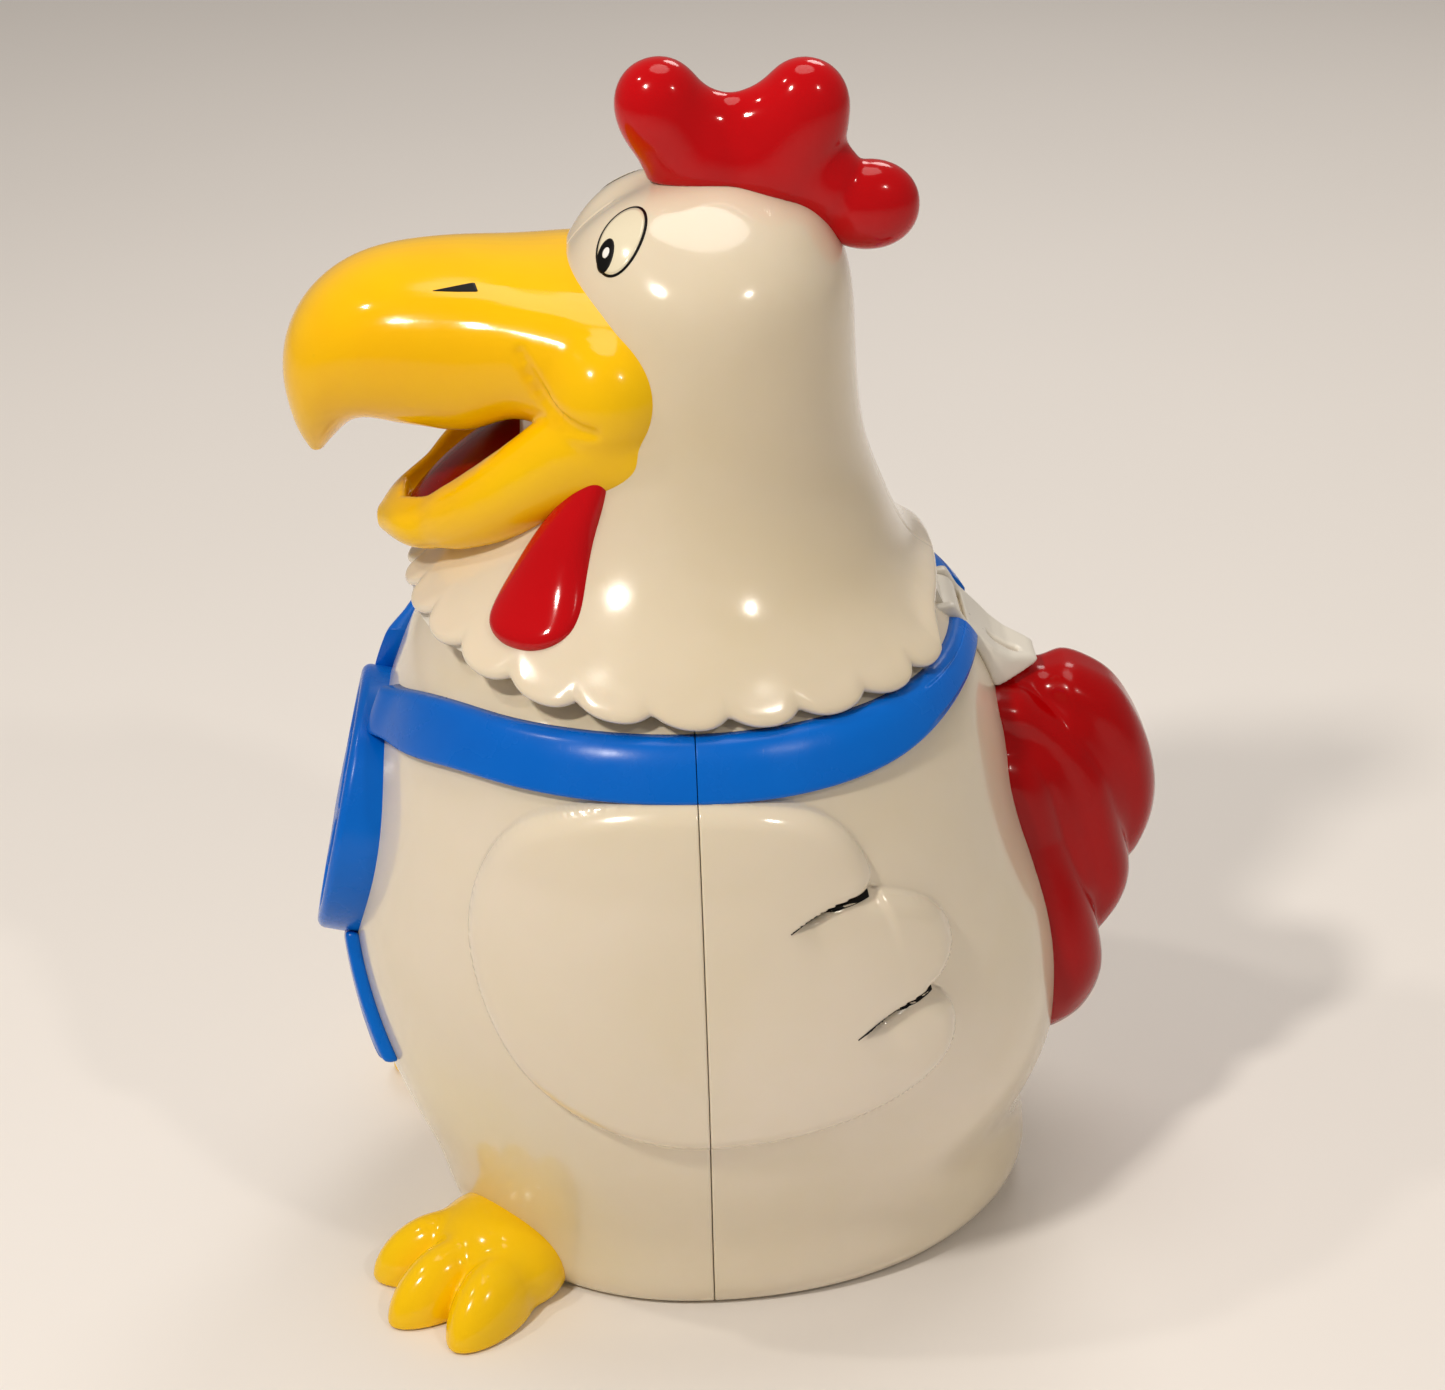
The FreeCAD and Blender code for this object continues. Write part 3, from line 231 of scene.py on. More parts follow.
def material(name, base, shade=None, warm=None, rough=0.2, rough_span=0.08, coat=0.0, bump=0.04, metallic=0.0,
             spots=0.0, blotch=14.0, tint_and_bounce_patches=None, ior=1.5, spec=0.5, sss=0.0, scratches=0.0):
    """Moulded finish: broad colour drift, fine mottling, uneven gloss, flow ripple, pin scratches and dust specks."""
    m = bpy.data.materials.new(name)
    m.use_nodes = True
    nt = m.node_tree
    N, L = nt.nodes, nt.links
    b = N["Principled BSDF"]
    tc = N.new("ShaderNodeTexCoord")

    def noise(scale, detail=3.0, rough_=0.5, dist=0.0, src=None):
        n = N.new("ShaderNodeTexNoise")
        n.inputs["Scale"].default_value = scale
        n.inputs["Detail"].default_value = detail
        n.inputs["Roughness"].default_value = rough_
        n.inputs["Distortion"].default_value = dist
        L.new(src or tc.outputs["Object"], n.inputs["Vector"])
        return n

    def ramp(src, lo, hi, c0=(0, 0, 0, 1), c1=(1, 1, 1, 1)):
        r = N.new("ShaderNodeValToRGB")
        r.color_ramp.elements[0].position, r.color_ramp.elements[1].position = lo, hi
        r.color_ramp.elements[0].color, r.color_ramp.elements[1].color = c0, c1
        L.new(src, r.inputs["Fac"])
        return r

    def mix(fac, a, c, kind="MIX"):
        x = N.new("ShaderNodeMix")
        x.data_type = "RGBA"
        x.blend_type = kind
        if isinstance(fac, float):
            x.inputs[0].default_value = fac
        else:
            L.new(fac, x.inputs[0])
        for v, s in ((a, x.inputs[6]), (c, x.inputs[7])):
            if isinstance(v, tuple):
                s.default_value = v
            else:
                L.new(v, s)
        return x.outputs[2]

    shade = shade or tuple(c * 0.86 for c in base[:3]) + (1.0,)
    warm = warm or shade
    n1 = noise(blotch, 4.0, 0.55, 0.3)
    col = mix(ramp(n1.outputs["Fac"], 0.36, 0.68).outputs["Color"], base, shade)
    n2 = noise(blotch * 0.37, 2.0, 0.5)
    col = mix(ramp(n2.outputs["Fac"], 0.42, 0.78).outputs["Color"], col, warm)
    # tint patches round given centres; the body's patch over the near foot is partly painted yellow bounce light from
    # the foot
    if tint_and_bounce_patches:
        for colour, centre, radius, low, high in tint_and_bounce_patches:
            sep = N.new("ShaderNodeVectorMath")
            sep.operation = "DISTANCE"
            L.new(tc.outputs["Object"], sep.inputs[0])
            sep.inputs[1].default_value = [c * 0.001 for c in centre]
            warp = noise(38.0, 4.0, 0.6)
            add = N.new("ShaderNodeMath")
            add.operation = "MULTIPLY_ADD"
            L.new(warp.outputs["Fac"], add.inputs[0])
            add.inputs[1].default_value = -0.028
            L.new(sep.outputs["Value"], add.inputs[2])
            rr = N.new("ShaderNodeMapRange")
            rr.interpolation_type = "SMOOTHSTEP"
            L.new(add.outputs[0], rr.inputs["Value"])
            rr.inputs["From Min"].default_value = radius * 0.0002
            rr.inputs["From Max"].default_value = radius * 0.001
            rr.inputs["To Min"].default_value = high
            rr.inputs["To Max"].default_value = low
            col = mix(rr.outputs[0], col, colour)
    if spots > 0:
        v = N.new("ShaderNodeTexVoronoi")
        v.inputs["Scale"].default_value = 95.0
        L.new(tc.outputs["Object"], v.inputs["Vector"])
        sp = ramp(v.outputs["Distance"], 0.035, 0.06, (1, 1, 1, 1), (0, 0, 0, 1))
        pick = ramp(noise(26.0, 1.0).outputs["Fac"], 0.62, 0.66)
        both = mix(1.0, sp.outputs["Color"], pick.outputs["Color"], "MULTIPLY")
        dim = mix(spots, (0.0, 0.0, 0.0, 1.0), both)
        dirt = tuple(c * 0.45 for c in base[:3]) + (1.0,)
        col = mix(dim, col, dirt)
    L.new(col, b.inputs["Base Color"])
    n3 = noise(55.0, 4.0, 0.6)
    mr = N.new("ShaderNodeMapRange")
    L.new(n3.outputs["Fac"], mr.inputs["Value"])
    mr.inputs["From Min"].default_value, mr.inputs["From Max"].default_value = 0.3, 0.7
    mr.inputs["To Min"].default_value, mr.inputs["To Max"].default_value = max(rough - rough_span, 0.02), rough + rough_span
    L.new(mr.outputs[0], b.inputs["Roughness"])
    b.inputs["Metallic"].default_value = metallic
    b.inputs["IOR"].default_value = ior
    b.inputs["Specular IOR Level"].default_value = spec
    if coat:
        b.inputs["Coat Weight"].default_value = coat
        b.inputs["Coat Roughness"].default_value = 0.06
    if sss:
        b.inputs["Subsurface Weight"].default_value = sss
        b.inputs["Subsurface Radius"].default_value = (0.006, 0.004, 0.002)
        b.inputs["Subsurface Scale"].default_value = 0.5
    # flow ripple, fine peel and a few scratches
    h1 = noise(70.0, 2.0, 0.5)
    h2 = noise(1100.0, 2.0, 0.5)
    add = N.new("ShaderNodeMath")
    add.operation = "MULTIPLY_ADD"
    L.new(h2.outputs["Fac"], add.inputs[0])
    add.inputs[1].default_value = 0.10
    L.new(h1.outputs["Fac"], add.inputs[2])
    height = add.outputs[0]
    if scratches > 0:
        mp = N.new("ShaderNodeMapping")
        mp.inputs["Rotation"].default_value = (0.5, 0.8, 0.3)
        mp.inputs["Scale"].default_value = (1.0, 30.0, 1.0)
        L.new(tc.outputs["Object"], mp.inputs["Vector"])
        sc = noise(26.0, 2.0, 0.4, 0.6, mp.outputs[0])
        line = ramp(sc.outputs["Fac"], 0.735, 0.75)
        take = N.new("ShaderNodeMath")
        take.operation = "MULTIPLY_ADD"
        L.new(line.outputs["Color"], take.inputs[0])
        take.inputs[1].default_value = -scratches
        L.new(height, take.inputs[2])
        height = take.outputs[0]
    bp = N.new("ShaderNodeBump")
    bp.inputs["Strength"].default_value = bump
    bp.inputs["Distance"].default_value = 0.0012
    L.new(height, bp.inputs["Height"])
    L.new(bp.outputs[0], b.inputs["Normal"])
    return m


CREAM = lin(238, 226, 208)
M = {
    "cream": material("cream_shell", CREAM, lin(232, 219, 192), lin(228, 214, 184), rough=0.17, rough_span=0.07, coat=0.5,
                      bump=0.05, spots=0.35, sss=0.12, scratches=0.25,
                      # the yellow patch over the near foot is aged yellowing and painted yellow bounce light from the
                      # foot; the other two are warmer, darker tints low beside the foot and low at the rear
                      tint_and_bounce_patches=[(lin(236, 222, 158), (52, -70, 29), 40, 0.0, 0.3),
                             (lin(230, 214, 182), (66, -46, 12), 60, 0.0, 0.25),
                             (lin(226, 208, 168), (0, 30, 6), 80, 0.0, 0.35)]),
    "cream_head": material("cream_head_shell", CREAM, lin(231, 217, 188), lin(224, 208, 175), rough=0.15, rough_span=0.06,
                           coat=0.55, bump=0.045, spots=0.3, sss=0.12, scratches=0.2, blotch=11.0,
                           # a warmer, darker patch on the near side towards the back of the head
                           tint_and_bounce_patches=[(lin(214, 196, 158), (34, 12, 215), 46, 0.0, 0.35)]),
    "white": material("white_moulding", lin(238, 234, 224), lin(230, 224, 210), rough=0.3, bump=0.06, spots=0.2),
    "inner_white": material("inner_jar_white", lin(240, 238, 230), lin(232, 228, 216), rough=0.35, bump=0.05),
    "red": material("gloss_red", lin(206, 0, 12), lin(182, 0, 6), lin(194, 0, 16), rough=0.12, rough_span=0.05, coat=0.12, spec=0.26,
                    bump=0.05, spots=0.3, scratches=0.25),
    "red_tail": material("gloss_red_tail", lin(184, 0, 4), lin(152, 0, 2), lin(166, 0, 4), rough=0.18, rough_span=0.07,
                         coat=0.06, spec=0.22, bump=0.06, spots=0.3, scratches=0.3),
    "dark_red": material("tongue_red", lin(132, 6, 4), lin(106, 2, 2), rough=0.22, spec=0.25, bump=0.05),
    "yellow": material("gloss_yellow", lin(255, 206, 0), lin(252, 192, 0), lin(255, 210, 4), rough=0.14, rough_span=0.06,
                       coat=0.15, spec=0.28, bump=0.05, spots=0.3, scratches=0.2),
    "blue": material("satin_blue", lin(0, 108, 214), lin(0, 96, 200), lin(0, 114, 220), rough=0.26, rough_span=0.09,
                     coat=0.0, spec=0.24, bump=0.07, spots=0.35, scratches=0.4),
    "black": material("black_moulding", lin(26, 26, 27), lin(18, 18, 19), rough=0.42, bump=0.09),
    # black for the printed eye parts and the nostril patches, and also painted shadow inside the wing folds
    "print_and_shadow_black": material("printed_and_shadow_black", lin(6, 5, 6), lin(10, 9, 9), rough=0.42, spec=0.18, bump=0.02),
    "print_white": material("printed_white", lin(250, 250, 248), lin(244, 243, 240), rough=0.2, bump=0.02),
    "print_cream": material("printed_cream", lin(240, 231, 204), lin(234, 224, 194), rough=0.17, coat=0.4, bump=0.03),
    "board": material("board_mask", lin(18, 92, 46), lin(14, 78, 38), rough=0.34, bump=0.05),
    "cell": material("cell_sleeve", lin(58, 60, 66), lin(44, 46, 52), rough=0.22, bump=0.03),
    "steel": material("zinc_steel", lin(178, 180, 184), lin(150, 152, 158), rough=0.32, metallic=1.0, bump=0.05),
    "dark_gap": material("gap_shadow", lin(60, 44, 30), lin(48, 34, 24), rough=0.6, bump=0.02),
}


def dress(ob, key, body, *nodes):
    ob.data.materials.clear()
    ob.data.materials.append(M[key])
    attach(ob, body)
    if nodes:
        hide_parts(*nodes)
    return ob


# ------------------------------------------------------------------ distance-field modelling
class Field:
    """Dense distance field over a box, in millimetres, meshed at zero."""

    def __init__(self, lo, hi, step):
        self.step = step
        self.i0 = np.floor(np.array(lo) / step).astype(int)
        self.n = np.ceil(np.array(hi) / step).astype(int) - self.i0 + 1
        ax = [(np.arange(self.n[k]) + self.i0[k]) * step for k in range(3)]
        self.X, self.Y, self.Z = [a.astype(np.float32) for a in np.meshgrid(*ax, indexing="ij", sparse=True)]

    def ellipsoid(self, c, r, turn=0.0, tilt=0.0, roll=0.0, power=2.0):
        a, b, g = [math.radians(v) for v in (turn, tilt, roll)]
        R = np.array(Matrix.Rotation(a, 3, "Z") @ Matrix.Rotation(b, 3, "X") @ Matrix.Rotation(g, 3, "Y"))
        d = (self.X - c[0], self.Y - (c[1] + SEAM), self.Z - c[2])
        u = [R[0][k] * d[0] + R[1][k] * d[1] + R[2][k] * d[2] for k in range(3)]
        k0 = sum(np.abs(u[i] / r[i]) ** power for i in range(3)) ** (1 / power)
        g = [np.abs(u[i] / r[i]) ** (power - 1) / r[i] for i in range(3)]
        k1 = np.sqrt(sum(v * v for v in g)) / np.maximum(k0, 1e-6) ** (power - 1)
        return ((k0 - 1) / np.maximum(k1, 1e-6)).astype(np.float32)

    def from_mesh(self, pts, quads=None, tris=None, band=9.0):
        tr = vdb.createLinearTransform(voxelSize=self.step)
        kw = {}
        if tris is not None:
            kw["triangles"] = np.ascontiguousarray(tris, np.uint32)
        if quads is not None:
            kw["quads"] = np.ascontiguousarray(quads, np.uint32)
        g = vdb.FloatGrid.createLevelSetFromPolygons(np.ascontiguousarray(pts, np.float32), transform=tr, halfWidth=band, **kw)
        out = np.empty(tuple(self.n), np.float32)
        g.copyToArray(out, ijk=tuple(int(v) for v in self.i0))
        return out

    def body(self, off=0.0):
        phi = np.arctan2(self.X, self.Y - SEAM)
        z = np.clip(self.Z, 0, 167)
        w, f, r = np.moveaxis(BODY_F(z), -1, 0) + off
        s, c = np.sin(phi), np.cos(phi)
        R = ((np.abs(s) / w) ** 2.12 + (np.abs(c) / np.where(c > 0, r, f)) ** 2.12) ** (-1 / 2.12)
        d = np.hypot(self.X, self.Y - SEAM) - R
        return np.maximum(d, self.Z - 167 - off).astype(np.float32)

    def head(self, off=0.0):
        t = head_t(np.clip(self.Z, 164.5, 272.9))
        q = HEAD_F(t)
        w, f, r = np.maximum(q[..., 1], 0.5) + off, q[..., 2] - off, q[..., 3] + off
        c, Lh = 0.5 * (f + r), 0.5 * (r - f)
        x, y = self.X, self.Y - SEAM - c
        rad = np.hypot(x, y) + 1e-6
        k0 = ((np.abs(x) / w) ** 2.08 + (np.abs(y) / Lh) ** 2.08) ** (1 / 2.08)
        d = rad * (1 - 1 / np.maximum(k0, 1e-3))
        # the crown's slope shortens the true distance
        dz = 0.5
        q2 = HEAD_F(head_t(np.clip(self.Z + dz, 164.5, 272.9)))
        slope = np.abs(q2[..., 1] - q[..., 1]) / dz
        return (np.maximum(d / np.sqrt(1 + slope**2), (self.Z - 273.05) - off)).astype(np.float32)

    def mesh(self, name, d, relax=0):
        g = vdb.FloatGrid()
        g.background = 3.0
        g.copyFromArray(np.ascontiguousarray(d, np.float32))
        pts, quads = g.convertToQuads(isovalue=0.0)
        pts = (np.asarray(pts, float) + self.i0) * self.step
        quads = np.asarray(quads, np.int64)
        # keep the biggest connected piece
        n = len(pts)
        lab = np.arange(n)
        e = np.concatenate([quads[:, [0, 1]], quads[:, [1, 2]], quads[:, [2, 3]], quads[:, [3, 0]]])
        while True:
            m = np.minimum(lab[e[:, 0]], lab[e[:, 1]])
            new = lab.copy()
            np.minimum.at(new, e[:, 0], m)
            np.minimum.at(new, e[:, 1], m)
            new = new[new]
            if np.array_equal(new, lab):
                break
            lab = new
        vals, counts = np.unique(lab, return_counts=True)
        keep = lab == vals[counts.argmax()]
        idx = np.cumsum(keep) - 1
        quads = idx[quads[keep[quads[:, 0]]]]
        pts = pts[keep]
        if relax:
            e = np.concatenate([quads[:, [0, 1]], quads[:, [1, 2]], quads[:, [2, 3]], quads[:, [3, 0]]])
            e = np.concatenate([e, e[:, ::-1]])
            deg = np.bincount(e[:, 0], minlength=len(pts))[:, None]
            for k in range(relax):
                for lam in (0.55, -0.57):
                    acc = np.stack([np.bincount(e[:, 0], weights=pts[e[:, 1], a], minlength=len(pts)) for a in range(3)], 1)
                    pts = pts + lam * (acc / deg - pts)
        return outward(make(name, pts, quads[:, ::-1]))


def smin(a, b, k):
    h = np.maximum(k - np.abs(a - b), 0.0) / k
    return np.minimum(a, b) - h * h * k * 0.25


def smax(a, b, k):
    return -smin(-a, -b, k)


def soften(d, times=1):
    """Small box blur of a field: rounds edges by about a voxel each time."""
    for _ in range(times):
        for ax in range(3):
            lo = np.roll(d, 1, ax)
            hi = np.roll(d, -1, ax)
            d = 0.25 * lo + 0.5 * d + 0.25 * hi
    return d


def loft(rows, n=72, per=10, power=2.2):
    """Closed loft through beak stations (y, z, half width, half height, lean)."""
    rows = np.array(rows, float)
    t = np.concatenate([[0], np.cumsum(np.linalg.norm(np.diff(rows[:, :2], axis=0), axis=1))])
    f = cubic(t, rows)
    tt = np.linspace(0, t[-1], per * (len(rows) - 1) + 1)
    q = f(tt)
    a = 2 * PI * np.arange(n) / n
    c, s = np.cos(np.radians(q[:, 4]))[:, None], np.sin(np.radians(q[:, 4]))[:, None]
    u = np.maximum(q[:, 2], 0.4)[:, None] * np.sign(np.sin(a)) * np.abs(np.sin(a)) ** (2 / power)
    v = np.maximum(q[:, 3], 0.3)[:, None] * np.sign(np.cos(a)) * np.abs(np.cos(a)) ** (2 / power)
    P = np.stack([u, q[:, 0][:, None] + SEAM - v * s, q[:, 1][:, None] + v * c], -1)
    m = len(tt)
    pts = np.vstack([P.reshape(-1, 3), P[0].mean(0), P[-1].mean(0)])
    quads = grid_faces(m, n, wrap_c=True)
    i = np.arange(n)
    j = (i + 1) % n
    tris = np.concatenate([np.stack([np.full(n, m * n), j, i], 1),
                           np.stack([np.full(n, m * n + 1), (m - 1) * n + i, (m - 1) * n + j], 1)])
    return pts, quads, tris


# ------------------------------------------------------------------ body shells
LOBE3 = [(53.2, 94.8), (57.6, 89.0), (59.0, 83.0), (57.6, 77.0), (51.1, 70.4), (37.9, 64.9), (24.0, 61.8), (8.0, 60.0),
         (-5.0, 60.0), (-17.5, 62.6), (-30.5, 68.6), (-42.6, 79.0), (-50.6, 95.0), (-53.6, 111.0), (-52.2, 123.5),
         (-47.4, 134.5), (-40.3, 142.6), (-29.0, 147.6), (-14.0, 150.4), (2.0, 150.6), (17.0, 148.4), (26.5, 145.0),
         (33.0, 139.5), (37.2, 132.8), (38.6, 127.4), (37.9, 124.9)]
LOBE2 = [(38.9, 123.9), (47.6, 119.8), (54.0, 114.6), (57.7, 107.8), (57.6, 101.2), (54.6, 96.6), (52.6, 95.1)]
WING = np.vstack([curve_through(LOBE3, 190), curve_through(LOBE2, 50)])
SLITS = [(np.array([19.5, 119.6]), np.array([38.6, 124.6])), (np.array([34.8, 89.0]), np.array([53.6, 95.4]))]


def wing_height(y, z):
    """Relief of the wing over the body; y from the seam, z up."""
    P = np.stack([y, z], -1)
    d = polygon_distance(P, WING)
    t = np.clip((d + 0.25) / 5.4, 0, 1)
    h = 4.5 * np.sqrt(np.maximum(1 - (1 - t) ** 2, 0)) ** 1.12
    h += 0.75 * (1 - np.exp(-np.maximum(d - 3, 0) / 13.0))
    # a soft fillet where the relief meets the body
    h += 0.35 * np.exp(-np.maximum(-d, 0) / 1.4) * (d < 0.6)
    for inner, outer in SLITS:
        u = outer - inner
        length = np.linalg.norm(u)
        u = u / length
        n = np.array([u[1], -u[0]])
        q = P - inner
        along, s = q @ u / length, q @ n
        s = s + 1.5 * np.sin(np.clip(along, 0, 1) * PI)           # the fold is slightly bowed
        fade = smoothstep(-0.06, 0.35, along)
        wide = 0.35 + 1.15 * fade
        on = smoothstep(-0.35, 0.1, s)
        gap = 4.4 * on * (1 - smoothstep(wide - 0.2, wide + 0.7, s))
        under = 2.4 * on * np.exp(-np.maximum(s - wide, 0) / 5.5)
        lip = 0.45 * smoothstep(-2.4, -0.1, s) * (s < 0.1)
        cut = np.maximum(gap, under) + lip
        h = h - np.minimum(cut * fade * (d > -0.4) * smoothstep(1.12, 1.0, along), h + 0.55)
    return h


def spread(a, b, step):
    return np.linspace(a, b, max(2, int(round(abs(b - a) / step)) + 1))


def half_body(name, front):
    side = np.radians(0.40)
    k = np.radians(90)
    fine = spread(np.radians(47), k - np.radians(0.35), side)
    mid = spread(-np.radians(46), np.radians(46), np.radians(0.95))
    ends = k - np.radians(np.array([0.22, 0.10, 0.0]))
    cols = np.concatenate([-ends[::-1], -fine[::-1], mid, fine, ends])
    cols = np.unique(np.round(cols, 7))
    phi = cols + (PI if front else 0.0)
    zs = np.concatenate([[0.0, 0.35, 0.8, 1.4], spread(2.1, 55, 1.25), spread(55.5, 152, 0.52), spread(152.8, 166.2, 0.9), [166.7]])
    Z, PH = np.meshgrid(zs, phi, indexing="ij")
    R = body_radius(PH, Z)
    X, Y = R * np.sin(PH), R * np.cos(PH)
    h = np.zeros_like(R)
    mask = (Z > 53) & (Z < 156) & (np.abs(Y) < 66) & (np.abs(X) > 30)
    h[mask] = wing_height(Y[mask], Z[mask])
    # rounded foot rim, small edge break at the seam
    low = np.clip(1 - Z / 1.6, 0, 1)
    h -= 1.6 * (1 - np.sqrt(np.maximum(1 - low**2, 0)))
    edge = np.abs(np.abs(cols) - k)
    brk = np.interp(edge, np.radians([0, 0.10, 0.22, 0.36]), [0.34, 0.12, 0.03, 0.0])
    h -= brk[None, :]
    # long-wave unevenness of the moulding
    h += 0.10 * np.sin(PH * 5 + Z * 0.045) * np.sin(Z * 0.06)
    R = R + h
    outer = np.stack([R * np.sin(PH), R * np.cos(PH) + SEAM, Z], -1)
    # top face in to the mouth, then down inside and along the inner wall
    c = np.array([0.0, -1.5])
    d = np.stack([np.sin(phi), np.cos(phi)], -1)
    cd = d @ c
    mouth = cd + np.sqrt(52.0**2 - c @ c + cd**2)
    rows = [outer]
    rim = body_radius(phi, np.full_like(phi, 167.0)) - brk
    for f, z in ((0.0, 167.0), (0.3, 167.0), (0.7, 167.0), (0.97, 167.0), (1.0, 166.8)):
        r = rim + (mouth + (0.25 if f < 1 else 0) - rim) * f if f else rim - 0.35
        rows.append(np.stack([r * d[:, 0], r * d[:, 1] + SEAM, np.full_like(phi, z)], -1)[None])
    inner_z = [164.4]
    rows.append(np.stack([mouth * d[:, 0], mouth * d[:, 1] + SEAM, np.full_like(phi, 164.2)], -1)[None])
    for z in np.concatenate([[163.9], np.linspace(160, 4, 40), [0.0]]):
        r = body_radius(phi, np.full_like(phi, z), -2.8)
        r = np.maximum(r, 0)
        rows.append(np.stack([r * d[:, 0], r * d[:, 1] + SEAM, np.full_like(phi, z)], -1)[None])
    P = np.concatenate(rows, 0)
    nr, nc = P.shape[:2]
    P[..., 1] += -0.11 if front else 0.11
    quads = grid_faces(nr, nc, wrap_r=True)
    caps = [list(range(0, nr * nc, nc)), list(range(nc - 1, nr * nc, nc))[::-1]]
    ob = make(name, P.reshape(-1, 3), quads, ngons=caps)
    return outward(ob)


body_front = dress(half_body("body_shell_front_form", True), "cream", "body", "body_shell_front")
body_rear = dress(half_body("body_shell_rear_form", False), "cream", "body", "body_shell_rear")


# ------------------------------------------------------------------ strap halves
TOP = np.array([(-92, 130.9), (-75, 147.4), (-66, 155.9), (-57, 160.3), (-45, 162.1), (-28, 162.9), (0, 162.9), (30, 162.7),
                (60, 162.1), (78, 162.3)], float)
BOTTOM = np.array([(-96, 110), (-84, 124), (-78, 136), (-68, 144.4), (-57, 148.4), (-43, 150), (0, 149.8), (34, 150),
                   (52, 152.2), (67, 156.2), (78, 157.4)], float)


def edge_height(phi, pts):
    f = cubic(pts[:, 0], pts[:, 1])
    z = np.full_like(phi, 152.0)
    for _ in range(60):
        y = np.clip(body_radius(phi, z) * np.cos(phi), pts[0, 0], pts[-1, 0])
        z = 0.6 * z + 0.4 * f(y)
    return z


def strap(name, lo, hi, sign, shift):
    phi = np.unique(np.concatenate([spread(lo, hi, np.radians(0.7)), hi - np.radians([0.12, 0.3]), lo + np.radians([0.12, 0.3])]))
    zt, zb = edge_height(phi, TOP), edge_height(phi, BOTTOM)
    wide = zt - zb
    proud = 1.9 * np.exp(-(((hi - phi) / np.radians(5.0)) ** 2)) if hi > 2.5 else 0.0 * phi
    e = np.concatenate([[0.0, 0.0, 0.08, 0.25, 0.5, 0.85, 1.25], np.linspace(1.8, 6.0, 6)])
    off = np.concatenate([[-0.5, 1.75], 1.75 + 1.25 * np.sqrt(1 - (1 - np.array([0.08, 0.25, 0.5, 0.85, 1.25]) / 1.25) ** 2)])
    off = np.concatenate([off, 3.0 + 0.12 * np.sin(np.linspace(0.2, 1.0, 6) * PI / 2)])
    P = []
    for k in range(len(e)):
        z = zb + (e[k] if e[k] <= 1.25 else wide * 0.5 * e[k] / 6.4)
        P.append(body_point(phi, z, 0) + 0)
        R = body_radius(phi, z) + off[k] + (proud if off[k] > 0 else 0.0)
        P[-1] = np.stack([R * np.sin(phi), R * np.cos(phi) + SEAM, z], -1)
    for k in range(len(e) - 1, -1, -1):
        z = zt - (e[k] if e[k] <= 1.25 else wide * 0.5 * e[k] / 6.4)
        R = body_radius(phi, z) + off[k] + (proud if off[k] > 0 else 0.0)
        P.append(np.stack([R * np.sin(phi), R * np.cos(phi) + SEAM, z], -1))
    P = np.stack(P, 0)
    P[..., 0] *= sign
    P[..., 1] += shift
    nr, nc = P.shape[:2]
    # break the ends slightly
    ctr = P.mean(0, keepdims=True)
    for c, s in ((0, 0.97), (nc - 1, 0.97)):
        P[:, c] = ctr[:, c] + (P[:, c] - ctr[:, c]) * s
    ob = make(name, P.reshape(-1, 3), grid_faces(nr, nc, wrap_r=True),
              ngons=[list(range(0, nr * nc, nc)), list(range(nc - 1, nr * nc, nc))[::-1]])
    return outward(ob)


front_straps, rear_straps = [], []
for sx, tag in ((1, "left"), (-1, "right")):
    front_straps.append(strap("strap_front_" + tag, PI / 2, np.radians(167.4), sx, -0.1))
    rear_straps.append(strap("strap_rear_" + tag, np.radians(11.2), PI / 2, sx, 0.1))


def join(name, obs):
    bpy.ops.object.select_all(action="DESELECT")
    for o in obs:
        o.select_set(True)
    bpy.context.view_layer.objects.active = obs[0]
    bpy.ops.object.join()
    obs[0].name = name
    obs[0].data.name = name
    return obs[0]


dress(join("strap_front_form", front_straps), "blue", "body", "neck_strap_front")
dress(join("strap_rear_form", rear_straps), "blue", "body", "neck_strap_rear")

# ------------------------------------------------------------------ medallion
TILT = math.radians(14)
DC = np.array([0.0, -84.65 + SEAM, 112.7])
DN = np.array([0.0, -math.cos(TILT), math.sin(TILT)])
DU = np.array([0.0, math.sin(TILT), math.cos(TILT)])


def lathe(name, profile, centre, normal, upv, n=144):
    prof = np.array(profile, float)
    side = np.cross(upv, normal)
    a = 2 * PI * np.arange(n) / n
    d = np.cos(a)[:, None] * side + np.sin(a)[:, None] * upv
    P = centre + prof[:, 0][:, None, None] * d[None] + prof[:, 1][:, None, None] * normal
    ob = make(name, P.reshape(-1, 3), grid_faces(len(prof), n, wrap_c=True))
    return outward(ob)


def arc(cx, cy, r, a0, a1, n=7):
    return [(cx + r * math.cos(math.radians(a)), cy + r * math.sin(math.radians(a))) for a in np.linspace(a0, a1, n)]


disc_profile = ([(0.0, -7.5), (33.0, -7.5)] + arc(33.2, -6.7, 0.8, -90, 0, 4) + [(34.0, -4.0), (34.0, -1.2)] + arc(31.8, 2.8, 2.2, 0, 90, 9)
                + [(30.6, 5.0)] + arc(30.3, 4.4, 0.6, 90, 160, 4) + [(29.4, 3.7)] + arc(28.6, 3.75, 0.35, 0, -90, 3)
                + [(27.6, 3.42), (26.6, 3.42)] + arc(26.0, 3.42, 0.5, 0, 180, 6) + [(24.6, 3.42), (22.5, 3.46), (12.0, 3.5), (0.0, 3.5)])
disc = lathe("medallion_disc_form", disc_profile, DC, DN, DU)
dress(sharpen(disc, 50), "blue", "body", "medallion_disc")
# softly faceted star standing on the recessed face
star = []
for k in range(10):
    a = math.radians(36 * k)
    r = 19.6 if k % 2 == 0 else 9.4
    star.append((r * math.sin(a), r * math.cos(a)))
star = np.array(star)


